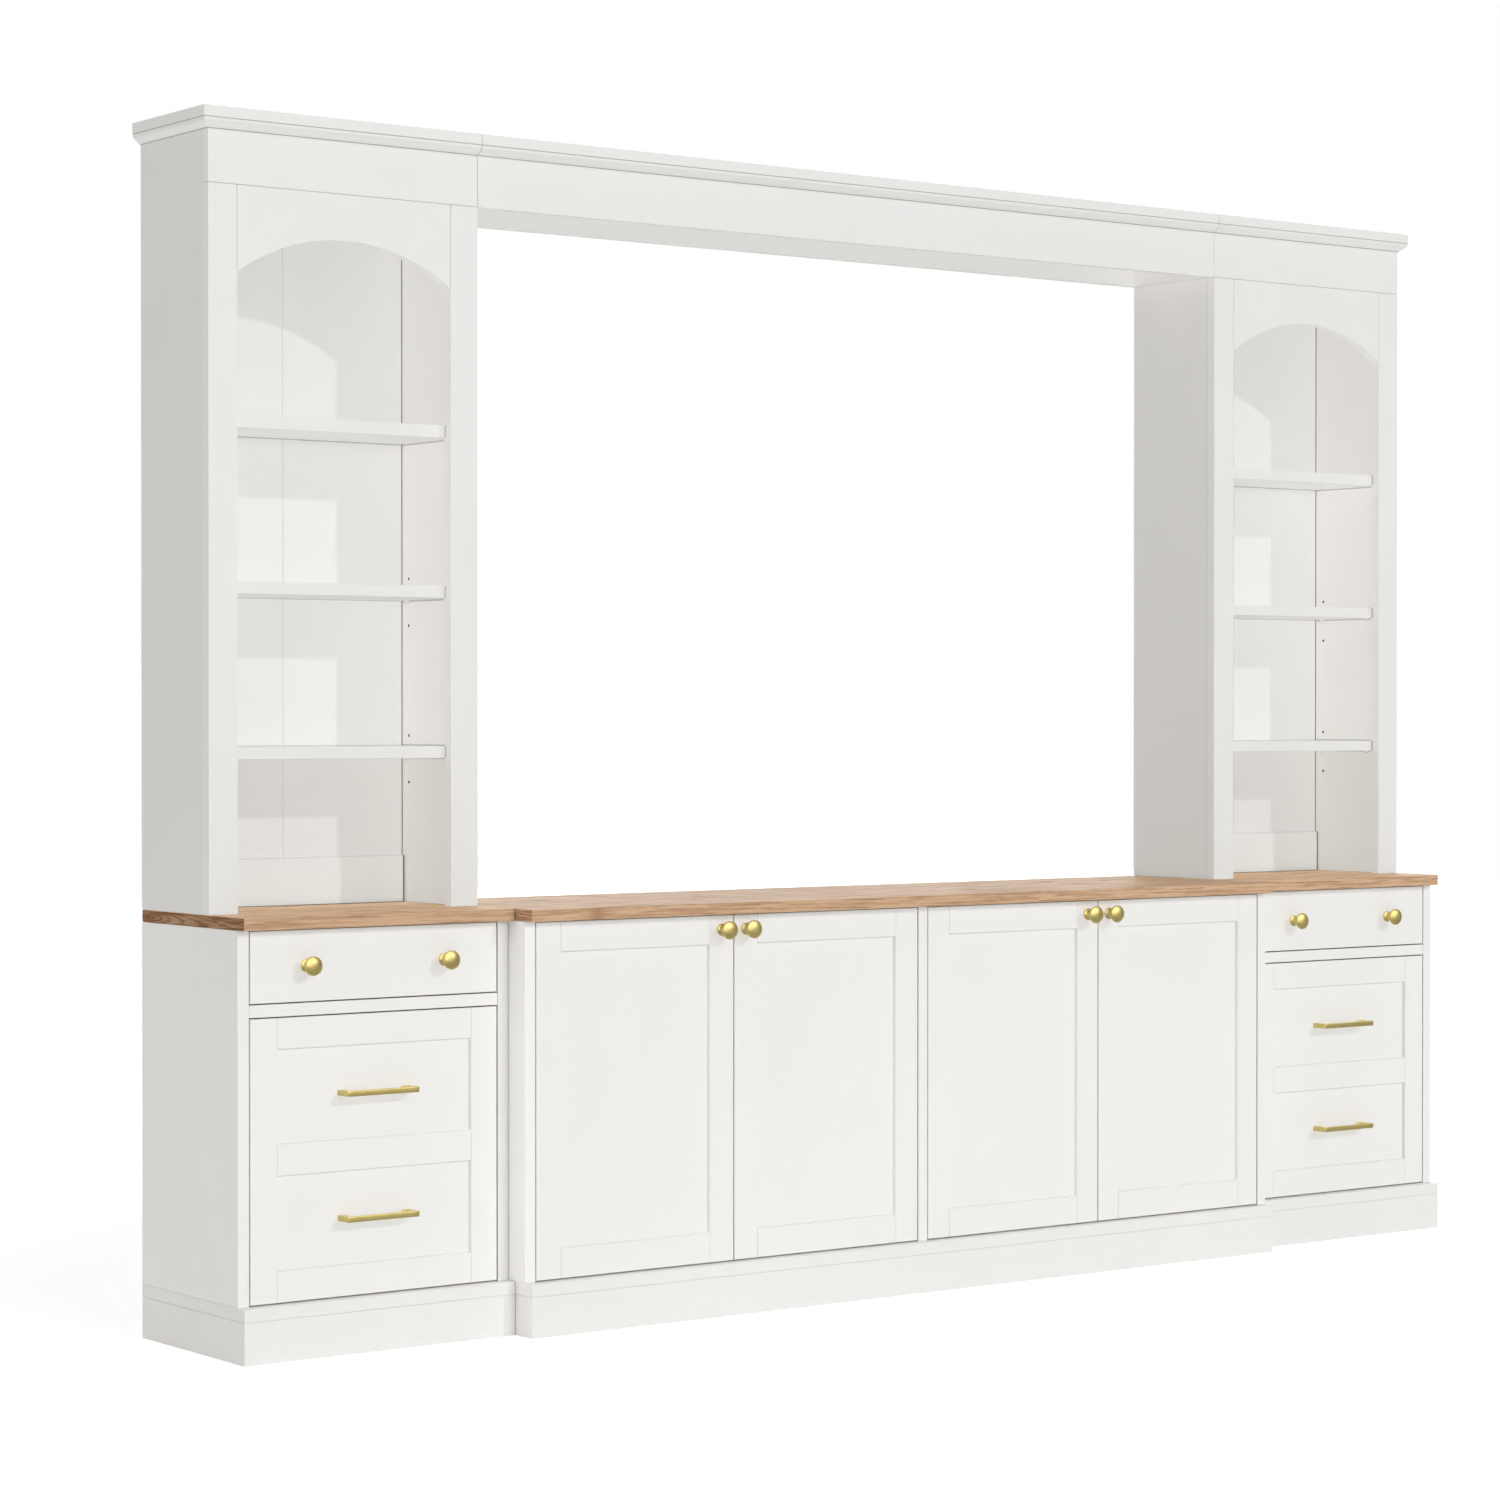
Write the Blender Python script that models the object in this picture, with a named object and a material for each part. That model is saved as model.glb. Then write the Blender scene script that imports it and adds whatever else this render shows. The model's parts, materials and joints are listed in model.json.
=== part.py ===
"""Entertainment centre: two piers of drawers and open shelves, a console with four doors, and a bridge.

Metres, +Z up, the front towards -Y, the origin on the floor under the middle of the whole object.
"""
import math

import bmesh
import bpy
from mathutils import Vector

# Boards, sheets and the gaps between pieces
BOARD = 0.018
BACK_SHEET = 0.003
SEAT_GAP = 0.0003
MODULE_GAP = 0.0008
REVEAL = 0.002
SHEET_GROOVE_DEPTH = 0.006
SHEET_INSET = 0.016
SHEET_PLAY = 0.0008
SEAM_WIDTH = 0.001
SEAM_DEPTH = 0.0015
ARRIS = 0.0008
TOP_ARRIS = 0.0015
OVERRUN = 0.002
FUSE = 0.001
SHARP_ANGLE = 40

# Widths and depths of the whole
PIER_WIDTH = 0.457
CONSOLE_WIDTH = 1.524
CABINET_DEPTH = 0.291
CONSOLE_STEP = 0.045
TOWER_DEPTH = 0.207
TOP_OVERHANG = 0.019

# Heights of the lower cabinets
PLINTH_HEIGHT = 0.062
BASE_HEIGHT = 0.636
SMALL_FRONT_HEIGHT = 0.1035
RAIL_DEPTH = 0.060

# Door and drawer fronts
FRAME_MEMBER = 0.0445
RECESS_DEPTH = 0.006
RECESS_SLOPE = 0.001

# Towers
STILE_WIDTH = 0.047
CUBBY_HEIGHT = 0.2235
CUBBY_SHELVES = 3
BACK_RAIL_HEIGHT = 0.072
BACK_RAIL_PROUD = 0.0065
FRIEZE_BOTTOM = 1.691
FRIEZE_HEIGHT = 0.077
ARCH_SPRING = 1.567
ARCH_RISE = 0.056
ARCH_LEDGE = 0.0036
ARCH_SEGMENTS = 24
SHELF_PLAY = 0.001

# Crown
MOULDING_HEIGHT = 0.015
MOULDING_LIP = 0.0045
MOULDING_FOOT = 0.002
MOULDING_FILLET = 0.0005
SHADOW_LINE = 0.0007
SHADOW_DEPTH = 0.0013
CAP_THICKNESS = 0.016
CAP_PROJECTION = 0.0137
CAP_SHADOW = 0.0008
COVE_SEGMENTS = 10

# Shelf pin holes
PIN_RADIUS = 0.0025
PIN_HOLE_DEPTH = 0.008
PIN_PITCH = 0.036
PIN_FRONT_INSET = 0.037
PIN_BACK_INSET = 0.0195
PIN_SIDES = 8

# Console inside
CONSOLE_SHELF_HEIGHT = 0.345
CONSOLE_SHELF_SETBACK = 0.055
CABLE_SLOT_WIDTH = 0.090
CABLE_SLOT_HEIGHT = 0.045
CABLE_SLOT_CHAMFER = 0.012
CABLE_SLOT_RISE = 0.110

# Hinges
PIVOT_INSET = 0.005
PIVOT_DEPTH = 0.0045
HINGE_FROM_EDGE = 0.095
HINGE_CUP_RADIUS = 0.0175
HINGE_CUP_INSET = 0.0225
HINGE_CUP_DEPTH = 0.0115
HINGE_CUP_STEPS = 12
HINGE_ARM_WIDTH = 0.016
HINGE_ARM_RISE = 0.012
HINGE_ARM_LENGTH = 0.062
HINGE_ARM_THICKNESS = 0.008
HINGE_SWING_GAP = 0.0016
HINGE_SWING_REACH = 0.0055

# Drawer trays and slides
SLIDE_SPACE = 0.0125
SLIDE_HEIGHT = 0.035
SLIDE_PLATE = 0.002
SLIDE_RUNNING_GAP = 0.0005
SLIDE_WEB_HEIGHT = 0.022
SLIDE_RISE = 0.018
SLIDE_SHORTER = 0.003
TRAY_BOARD = 0.012
TRAY_SHEET = 0.004
TRAY_SHEET_RISE = 0.009
TRAY_BACK_CLEAR = 0.014
TRAY_FLOOR_CLEAR = 0.014
SMALL_TRAY_HEIGHT = 0.072
DEEP_TRAY_HEIGHT = 0.240

# Knobs, as turned round their own axis
KNOB_RADIUS = 0.0139
KNOB_FOOT_RADIUS = 0.0093
KNOB_FOOT_THICKNESS = 0.0022
KNOB_NECK_RADIUS = 0.0048
KNOB_NECK_END = 0.0125
KNOB_RIM = 0.0205
KNOB_PROJECTION = 0.028
KNOB_WAIST_SHARE = 1 / 3
KNOB_FLARE_SHARE = 1 / 3
KNOB_EDGE_SHARE = 1 / 4
KNOB_SEGMENTS = 20
KNOB_DOME_STEPS = 5
DRAWER_KNOB_OFFSET = 0.1165

# Pulls
PULL_LENGTH = 0.121
PULL_PROJECTION = 0.028
PULL_BAR_DEPTH = 0.0065
PULL_BAR_HEIGHT = 0.0085
PULL_POST_WIDTH = 0.009
PULL_FOOT_FLARE = 0.0015
PULL_INNER_FLARE = 0.006
PULL_CORNER = 0.002
PULL_ARC_STEPS = 4
PULL_ARRIS = 0.0008

# Levels worked out from the heights
FLOOR_TOP = PLINTH_HEIGHT + BOARD
UNDER_TOP = BASE_HEIGHT - BOARD
FRONT_TOP = UNDER_TOP - REVEAL
FRONT_BOTTOM = FLOOR_TOP + REVEAL
SMALL_FRONT_BOTTOM = FRONT_TOP - SMALL_FRONT_HEIGHT
RAIL_TOP = SMALL_FRONT_BOTTOM - REVEAL
RAIL_BOTTOM = RAIL_TOP - BOARD
DEEP_FRONT_TOP = RAIL_BOTTOM - REVEAL
CAP_BOTTOM = FRIEZE_BOTTOM + FRIEZE_HEIGHT + MOULDING_HEIGHT
CAP_TOP = CAP_BOTTOM + CAP_THICKNESS

# Planes worked out from the widths and depths
OVERALL_DEPTH = CABINET_DEPTH + CONSOLE_STEP + SEAT_GAP + KNOB_PROJECTION
Y_BACK = OVERALL_DEPTH / 2
Y_PIER = Y_BACK - CABINET_DEPTH
Y_CONSOLE = Y_PIER - CONSOLE_STEP
Y_TOWER = Y_BACK - TOWER_DEPTH
Y_SHEET_BACK = Y_BACK - SHEET_INSET
Y_SHEET = Y_SHEET_BACK - BACK_SHEET
CONSOLE_HALF = CONSOLE_WIDTH / 2
PIER_INNER = CONSOLE_HALF + MODULE_GAP
PIER_OUTER = PIER_INNER + PIER_WIDTH
PIER_MIDDLE = (PIER_INNER + PIER_OUTER) / 2
INNER_WIDTH = PIER_WIDTH - 2 * BOARD

# Finishes: colour, roughness and metallic value
FINISHES = {
    "white_paint": ((0.855, 0.850, 0.835), 0.45, 0.0),
    "white_sheet": ((0.840, 0.835, 0.820), 0.55, 0.0),
    "oak_top": ((0.560, 0.340, 0.170), 0.50, 0.0),
    "brass": ((0.720, 0.520, 0.180), 0.30, 1.0),
    "tray_board": ((0.800, 0.795, 0.780), 0.55, 0.0),
}


def clear_scene():
    """Takes away whatever the scene holds."""
    for item in list(bpy.data.objects):
        bpy.data.objects.remove(item, do_unlink=True)


def add_finish(item, finish):
    """Gives a piece its own material."""
    colour, roughness, metallic = FINISHES[finish]
    material = bpy.data.materials.new(item.name + "_" + finish)
    material.use_nodes = True
    shader = material.node_tree.nodes["Principled BSDF"]
    shader.inputs["Base Color"].default_value = (*colour, 1.0)
    shader.inputs["Roughness"].default_value = roughness
    shader.inputs["Metallic"].default_value = metallic
    item.data.materials.append(material)


def link_mesh(name, shape, location):
    """Turns a bmesh into an object in the scene, faces pointing out."""
    bmesh.ops.recalc_face_normals(shape, faces=shape.faces)
    mesh = bpy.data.meshes.new(name)
    shape.to_mesh(mesh)
    shape.free()
    item = bpy.data.objects.new(name, mesh)
    item.location = location
    bpy.context.collection.objects.link(item)
    return item


def carried_by(item, pivot):
    """Parents a piece to the empty that it moves with, and leaves it where it is."""
    item.location = item.location - pivot.location
    item.parent = pivot


def add_empty(name, location):
    """An empty on the axis of a joint."""
    empty = bpy.data.objects.new(name, None)
    empty.location = location
    bpy.context.collection.objects.link(empty)
    return empty


def fill_box(shape, low, high):
    """Adds a closed box to a bmesh."""
    corners = []
    for z in (low[2], high[2]):
        for x, y in ((low[0], low[1]), (high[0], low[1]), (high[0], high[1]), (low[0], high[1])):
            corners.append(shape.verts.new((x, y, z)))
    bottom, top = corners[:4], corners[4:]
    shape.faces.new(list(reversed(bottom)))
    shape.faces.new(top)
    for i in range(4):
        j = (i + 1) % 4
        shape.faces.new((bottom[i], bottom[j], top[j], top[i]))


def fill_prism(shape, outline, axis, start, end):
    """Adds an outline, drawn across one axis, drawn out along it."""
    def place(point, level):
        if axis == "X":
            return (level, point[0], point[1])
        if axis == "Y":
            return (point[0], level, point[1])
        return (point[0], point[1], level)

    first = [shape.verts.new(place(point, start)) for point in outline]
    last = [shape.verts.new(place(point, end)) for point in outline]
    count = len(outline)
    faces = [shape.faces.new(list(reversed(first))), shape.faces.new(last)]
    for i in range(count):
        j = (i + 1) % count
        faces.append(shape.faces.new((first[i], first[j], last[j], last[i])))
    bmesh.ops.recalc_face_normals(shape, faces=faces)


def fill_chain(shape, sections):
    """Adds a solid through a chain of rectangles (x0, x1, y0, y1, z), closed at both ends."""
    loops = []
    for x0, x1, y0, y1, z in sections:
        corners = ((x0, y0), (x1, y0), (x1, y1), (x0, y1))
        loops.append([shape.verts.new((x, y, z)) for x, y in corners])
    shape.faces.new(loops[0])
    shape.faces.new(loops[-1])
    for lower, upper in zip(loops, loops[1:]):
        for i in range(4):
            j = (i + 1) % 4
            shape.faces.new((lower[i], lower[j], upper[j], upper[i]))


def add_bevel(item, width, segments=1):
    """Eases the sharp edges of a piece."""
    bevel = item.modifiers.new("eased edges", "BEVEL")
    bevel.width = width
    bevel.segments = segments
    bevel.limit_method = "ANGLE"
    bevel.angle_limit = math.radians(SHARP_ANGLE)


def add_board(name, low, high, finish, ease=0.0, ease_segments=1):
    """A plain board between two corners, its origin at the lower one."""
    shape = bmesh.new()
    fill_box(shape, (0, 0, 0), [b - a for a, b in zip(low, high)])
    item = link_mesh(name, shape, low)
    add_finish(item, finish)
    if ease:
        add_bevel(item, ease, ease_segments)
    return item


def add_tool(item, operation, shape, label):
    """Cuts or joins a helper shape, drawn in the same place as the piece."""
    tool = link_mesh(item.name + "_" + label, shape, item.location)
    tool.hide_render = True
    tool.display_type = "WIRE"
    change = item.modifiers.new(label, "BOOLEAN")
    change.operation = operation
    change.solver = "EXACT"
    change.object = tool
    return tool


def side_span(side, near, far):
    """Low and high X of a stretch given by its distances from the middle plane."""
    ends = (side * near, side * far)
    return min(ends), max(ends)


def panel_outline(inward, depth, sheet_front, sheet_back):
    """Plan of a side panel: a board with the groove for the back sheet in its inner face."""
    front = sheet_front - SHEET_PLAY
    back = sheet_back + SEAT_GAP
    if inward > 0:
        face, bottom = BOARD, BOARD - SHEET_GROOVE_DEPTH
        far = 0.0
    else:
        face, bottom = 0.0, SHEET_GROOVE_DEPTH
        far = BOARD
    return [(far, 0), (face, 0), (face, front), (bottom, front), (bottom, back), (face, back),
            (face, depth), (far, depth)]


def fill_pin_holes(shape, face_x, inward, columns, rows):
    """Adds the drills for shelf pins, running from an inner face into its board."""
    for y in columns:
        for z in rows:
            outline = []
            for i in range(PIN_SIDES):
                angle = 2 * math.pi * (i + 1 / 2) / PIN_SIDES
                outline.append((y + PIN_RADIUS * math.cos(angle), z + PIN_RADIUS * math.sin(angle)))
            start = face_x + inward * OVERRUN
            end = face_x - inward * PIN_HOLE_DEPTH
            fill_prism(shape, outline, "X", min(start, end), max(start, end))


def pin_rows(shelf_bottom):
    """Heights of the three pin holes that serve one shelf."""
    middle = shelf_bottom - PIN_RADIUS
    return [middle + step * PIN_PITCH for step in (-1, 0, 1)]


def add_side_panel(name, low_x, inward, y_front, z_low, z_high):
    """A side panel with the groove for its back sheet."""
    shape = bmesh.new()
    outline = panel_outline(inward, Y_BACK - y_front, Y_SHEET - y_front, Y_SHEET_BACK - y_front)
    fill_prism(shape, outline, "Z", 0, z_high - z_low)
    item = link_mesh(name, shape, (low_x, y_front, z_low))
    add_finish(item, "white_paint")
    return item


def cut_pin_holes(item, face_x, inward, columns, rows):
    """Drills shelf pin holes into one face of a panel."""
    drills = bmesh.new()
    fill_pin_holes(drills, face_x, inward, columns, rows)
    add_tool(item, "DIFFERENCE", drills, "pin_holes_" + ("right" if inward > 0 else "left"))


def add_base(name, x0, x1, y0, y1):
    """The floor panel on its plinth: an open box below, and a seam between panel and plinth."""
    low, high = 0.0, PLINTH_HEIGHT
    seam = high - SEAM_WIDTH
    width, depth = x1 - x0, y1 - y0
    sections = [
        (BOARD, width - BOARD, BOARD, depth - BOARD, high),
        (BOARD, width - BOARD, BOARD, depth - BOARD, low),
        (0, width, 0, depth, low),
        (0, width, 0, depth, seam),
        (SEAM_DEPTH, width - SEAM_DEPTH, SEAM_DEPTH, depth - SEAM_DEPTH, seam),
        (SEAM_DEPTH, width - SEAM_DEPTH, SEAM_DEPTH, depth - SEAM_DEPTH, high),
        (0, width, 0, depth, high),
        (0, width, 0, depth, FLOOR_TOP),
    ]
    shape = bmesh.new()
    fill_chain(shape, sections)
    item = link_mesh(name, shape, (x0, y0, 0))
    add_finish(item, "white_paint")
    return item


def add_front(name, x0, x1, y_front, z0, z1, recess_count):
    """A door or drawer front: a frame round one or more sunk panels, or a plain slab."""
    item = add_board(name, (x0, y_front, z0), (x1, y_front + BOARD, z1), "white_paint")
    if recess_count:
        width, height = x1 - x0, z1 - z0
        members = (recess_count + 1) * FRAME_MEMBER
        panel = (height - members) / recess_count
        cutters = bmesh.new()
        for i in range(recess_count):
            low = FRAME_MEMBER + i * (panel + FRAME_MEMBER)
            add_recess(cutters, FRAME_MEMBER, width - FRAME_MEMBER, low, low + panel)
        add_tool(item, "DIFFERENCE", cutters, "recess")
    add_bevel(item, ARRIS)
    return item


def add_recess(shape, x0, x1, z0, z1):
    """Adds a sunk panel's cutter: straight down in front, with a slight slope to its foot."""
    levels = ((-OVERRUN, 0.0), (0.0, 0.0), (RECESS_DEPTH, RECESS_SLOPE))
    loops = []
    for y, inset in levels:
        corners = ((x0 + inset, z0 + inset), (x1 - inset, z0 + inset),
                   (x1 - inset, z1 - inset), (x0 + inset, z1 - inset))
        loops.append([shape.verts.new((x, y, z)) for x, z in corners])
    faces = [shape.faces.new(loops[0]), shape.faces.new(loops[-1])]
    for near, far in zip(loops, loops[1:]):
        for i in range(4):
            j = (i + 1) % 4
            faces.append(shape.faces.new((near[i], near[j], far[j], far[i])))
    bmesh.ops.recalc_face_normals(shape, faces=faces)


def knob_profile():
    """Half outline of a knob, as (radius, distance from the face it stands on)."""
    waist = (KNOB_FOOT_RADIUS + KNOB_NECK_RADIUS) / 2
    flare = (KNOB_NECK_RADIUS + KNOB_RADIUS) / 2
    neck_start = (KNOB_FOOT_THICKNESS + KNOB_NECK_END) / 2
    waist_reach = KNOB_FOOT_THICKNESS + (neck_start - KNOB_FOOT_THICKNESS) * KNOB_WAIST_SHARE
    head = KNOB_RIM - KNOB_NECK_END
    points = [
        (0, 0),
        (KNOB_FOOT_RADIUS, 0),
        (KNOB_FOOT_RADIUS, KNOB_FOOT_THICKNESS),
        (waist, waist_reach),
        (KNOB_NECK_RADIUS, neck_start),
        (KNOB_NECK_RADIUS, KNOB_NECK_END),
        (flare, KNOB_NECK_END + head * KNOB_FLARE_SHARE),
        (KNOB_RADIUS, KNOB_RIM - head * KNOB_EDGE_SHARE),
    ]
    dome = KNOB_PROJECTION - KNOB_RIM
    for i in range(KNOB_DOME_STEPS):
        angle = math.pi / 2 * i / KNOB_DOME_STEPS
        points.append((KNOB_RADIUS * math.cos(angle), KNOB_RIM + dome * math.sin(angle)))
    points.append((0, KNOB_PROJECTION))
    return points


def add_knob(name, location):
    """A turned knob standing on a front, its axis along -Y."""
    shape = bmesh.new()
    verts = [shape.verts.new((radius, -reach, 0)) for radius, reach in knob_profile()]
    edges = [shape.edges.new(pair) for pair in zip(verts, verts[1:])]
    bmesh.ops.spin(shape, geom=verts + edges, cent=(0, 0, 0), axis=(0, 1, 0), dvec=(0, 0, 0),
                   angle=2 * math.pi, steps=KNOB_SEGMENTS, use_merge=True)
    bmesh.ops.remove_doubles(shape, verts=shape.verts, dist=KNOB_FOOT_THICKNESS / 100)
    item = link_mesh(name, shape, location)
    item.data.shade_smooth()
    item.data.set_sharp_from_angle(angle=math.radians(SHARP_ANGLE))
    add_finish(item, "brass")
    return item


def arc_points(centre, radius, start, end, steps):
    """Points along an arc in degrees, both ends included."""
    points = []
    for i in range(steps + 1):
        angle = math.radians(start + (end - start) * i / steps)
        points.append((centre[0] + radius * math.cos(angle), centre[1] + radius * math.sin(angle)))
    return points


def pull_outline():
    """Plan of a bar pull: two posts that flare at the foot, and the bar between them."""
    half = PULL_LENGTH / 2
    inner = half - PULL_POST_WIDTH
    inside = PULL_PROJECTION - PULL_BAR_DEPTH
    flare, corner = PULL_INNER_FLARE, PULL_CORNER
    right = arc_points((inner - corner, corner - inside), corner, -90, 0, PULL_ARC_STEPS)
    right += arc_points((inner - flare, -flare), flare, 0, 60, PULL_ARC_STEPS)
    right.append((inner - flare, 0))
    right.append((half + PULL_FOOT_FLARE, 0))
    right.append((half, -flare))
    right += arc_points((half - corner, corner - PULL_PROJECTION), corner, 0, -90, PULL_ARC_STEPS)
    left = [(-x, y) for x, y in reversed(right)]
    return right + left


def add_pull(name, location):
    """A bar pull standing on the sunk panel of a drawer front."""
    shape = bmesh.new()
    half_height = PULL_BAR_HEIGHT / 2
    fill_prism(shape, pull_outline(), "Z", -half_height, half_height)
    item = link_mesh(name, shape, location)
    add_bevel(item, PULL_ARRIS)
    item.data.shade_smooth()
    item.data.set_sharp_from_angle(angle=math.radians(SHARP_ANGLE))
    add_finish(item, "brass")
    return item


def tray_slide_outline(outward):
    """Section of the slide member on a tray, from the tray's side (x = 0) outwards."""
    reach = SLIDE_SPACE - SLIDE_PLATE - SLIDE_RUNNING_GAP
    rows = [(-FUSE, SLIDE_HEIGHT), (SLIDE_PLATE, SLIDE_HEIGHT), (SLIDE_PLATE, SLIDE_WEB_HEIGHT),
            (reach, SLIDE_WEB_HEIGHT)]
    upper = [(outward * x, height / 2) for x, height in rows]
    lower = [(outward * x, -height / 2) for x, height in reversed(rows)]
    return upper + lower


def cabinet_slide_outline(inward):
    """Section of the slide channel on a side panel, from the panel's face (x = 0) inwards."""
    reach = SLIDE_SPACE - SLIDE_PLATE - SLIDE_RUNNING_GAP
    half = SLIDE_HEIGHT / 2
    rows = [(-FUSE, half), (reach, half), (reach, half - SLIDE_PLATE), (SLIDE_PLATE, half - SLIDE_PLATE)]
    upper = [(inward * x, z) for x, z in rows]
    lower = [(inward * x, -z) for x, z in reversed(rows)]
    return upper + lower


def tray_start():
    """Distance of a tray's front behind the front plane of its cabinet."""
    return BOARD + SEAT_GAP


def tray_depth():
    """Front to back size of a drawer tray."""
    return Y_SHEET - TRAY_BACK_CLEAR - Y_PIER - tray_start()


def slide_levels():
    """Heights of the slides' middle lines, for the small and the deep drawer."""
    rise = TRAY_FLOOR_CLEAR + SLIDE_RISE + SLIDE_HEIGHT / 2
    return (SMALL_FRONT_BOTTOM + rise, FRONT_BOTTOM + rise)


def join_cabinet_slides(item, face_x, inward, z_low):
    """Screws the slide channels to a side panel, one for each drawer."""
    shape = bmesh.new()
    start = tray_start() + SLIDE_SHORTER
    end = tray_start() + tray_depth() - SLIDE_SHORTER
    for level in slide_levels():
        outline = [(face_x + x, level - z_low + z) for x, z in cabinet_slide_outline(inward)]
        fill_prism(shape, outline, "Y", start, end)
    add_tool(item, "UNION", shape, "slides")


def add_tray(name, middle_x, y_front, z_low, height):
    """A drawer tray: two sides, front and back strips, a thin bottom, and its slides."""
    width = INNER_WIDTH - 2 * SLIDE_SPACE
    depth = tray_depth()
    inner = (TRAY_BOARD, width - TRAY_BOARD, TRAY_BOARD, depth - TRAY_BOARD)
    outer = (0, width, 0, depth)
    sections = [(*inner, TRAY_SHEET_RISE), (*inner, 0), (*outer, 0), (*outer, height), (*inner, height),
                (*inner, TRAY_SHEET_RISE + TRAY_SHEET)]
    shape = bmesh.new()
    fill_chain(shape, sections)
    item = link_mesh(name, shape, (middle_x - width / 2, y_front, z_low))
    add_finish(item, "tray_board")
    slides = bmesh.new()
    centre_z = SLIDE_RISE + SLIDE_HEIGHT / 2
    for outward, face_x in ((-1, 0.0), (1, width)):
        outline = [(face_x + x, centre_z + z) for x, z in tray_slide_outline(outward)]
        fill_prism(slides, outline, "Y", SLIDE_SHORTER, depth - SLIDE_SHORTER)
    add_tool(item, "UNION", slides, "slides")
    return item


def add_drawer(prefix, middle_x, y_front, z0, z1, recess_count, tray_height):
    """A drawer front and its tray, on an empty at the middle of the front's back face."""
    half = INNER_WIDTH / 2 - REVEAL
    front = add_front(prefix + "_front", middle_x - half, middle_x + half, y_front, z0, z1, recess_count)
    tray = add_tray(prefix + "_tray", middle_x, y_front + tray_start(), z0 + TRAY_FLOOR_CLEAR, tray_height)
    runner = add_empty(prefix + "_runner", Vector((middle_x, y_front + BOARD, (z0 + z1) / 2)))
    for item in (front, tray):
        carried_by(item, runner)
    return runner


def build_pier_cabinet(prefix, side):
    """The lower cabinet of one pier, with its two drawers."""
    x0, x1 = side_span(side, PIER_INNER, PIER_OUTER)
    z0, z1 = FLOOR_TOP + SEAT_GAP, UNDER_TOP - SEAT_GAP
    outer_low = x1 - BOARD if side > 0 else x0
    inner_low = x0 if side > 0 else x1 - BOARD
    for label, low_x, inward in (("outer", outer_low, -side), ("inner", inner_low, side)):
        panel = add_side_panel(prefix + "_" + label + "_side", low_x, inward, Y_PIER, z0, z1)
        join_cabinet_slides(panel, BOARD if inward > 0 else 0.0, inward, z0)
    add_base(prefix + "_base", x0, x1, Y_PIER - TOP_OVERHANG, Y_BACK)
    groove = SHEET_GROOVE_DEPTH - SEAT_GAP
    add_board(prefix + "_back", (x0 + BOARD - groove, Y_SHEET, z0), (x1 - BOARD + groove, Y_SHEET_BACK, z1),
              "white_sheet")
    add_board(prefix + "_rail", (x0 + BOARD + SEAT_GAP, Y_PIER, RAIL_BOTTOM),
              (x1 - BOARD - SEAT_GAP, Y_PIER + RAIL_DEPTH, RAIL_TOP), "white_paint", ARRIS)
    add_board(prefix + "_worktop", (x0, Y_PIER - TOP_OVERHANG, UNDER_TOP), (x1, Y_BACK, BASE_HEIGHT),
              "oak_top", TOP_ARRIS, 2)
    build_pier_drawers(prefix, side * PIER_MIDDLE)


def build_pier_drawers(prefix, middle_x):
    """The small drawer with two knobs and the deep drawer with two pulls."""
    small = add_drawer(prefix + "_small_drawer", middle_x, Y_PIER, SMALL_FRONT_BOTTOM, FRONT_TOP, 0,
                       SMALL_TRAY_HEIGHT)
    knob_z = (SMALL_FRONT_BOTTOM + FRONT_TOP) / 2
    for label, offset in (("left", -DRAWER_KNOB_OFFSET), ("right", DRAWER_KNOB_OFFSET)):
        place = Vector((middle_x + offset, Y_PIER - SEAT_GAP, knob_z))
        carried_by(add_knob(prefix + "_" + label + "_knob", place), small)
    deep = add_drawer(prefix + "_deep_drawer", middle_x, Y_PIER, FRONT_BOTTOM, DEEP_FRONT_TOP, 2,
                      DEEP_TRAY_HEIGHT)
    panel = (DEEP_FRONT_TOP - FRONT_BOTTOM - 3 * FRAME_MEMBER) / 2
    lower_z = FRONT_BOTTOM + FRAME_MEMBER + panel / 2
    upper_z = lower_z + panel + FRAME_MEMBER
    for label, pull_z in (("lower", lower_z), ("upper", upper_z)):
        place = Vector((middle_x, Y_PIER + RECESS_DEPTH - SEAT_GAP, pull_z))
        carried_by(add_pull(prefix + "_" + label + "_pull", place), deep)


def cable_slot_corners():
    """Outline of a cable slot round its own middle: a rectangle with cut corners."""
    wide, high = CABLE_SLOT_WIDTH / 2, CABLE_SLOT_HEIGHT / 2
    cut = CABLE_SLOT_CHAMFER
    quarter = [(wide, high - cut), (wide - cut, high)]
    half = quarter + [(-x, z) for x, z in reversed(quarter)]
    return half + [(x, -z) for x, z in reversed(half)]


def add_console_back(z0, z1):
    """The console's back sheet with a cable slot behind each compartment."""
    half = CONSOLE_HALF - BOARD + SHEET_GROOVE_DEPTH - SEAT_GAP
    item = add_board("console_back", (-half, Y_SHEET, z0), (half, Y_SHEET_BACK, z1), "white_sheet")
    cutters = bmesh.new()
    for side in (-1, 1):
        middle = half + side * CONSOLE_HALF / 2
        outline = [(middle + x, CABLE_SLOT_RISE + z) for x, z in cable_slot_corners()]
        fill_prism(cutters, outline, "Y", -OVERRUN, BACK_SHEET + OVERRUN)
    add_tool(item, "DIFFERENCE", cutters, "cable_slots")
    return item


def console_pin_columns():
    """Distances of the pin columns behind the console's front plane."""
    return (CONSOLE_SHELF_SETBACK + PIN_FRONT_INSET, Y_SHEET - Y_CONSOLE - PIN_BACK_INSET)


def hinge_levels():
    """Heights of the hinges' middle lines."""
    return (FRONT_BOTTOM + HINGE_FROM_EDGE, FRONT_TOP - HINGE_FROM_EDGE)


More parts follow.
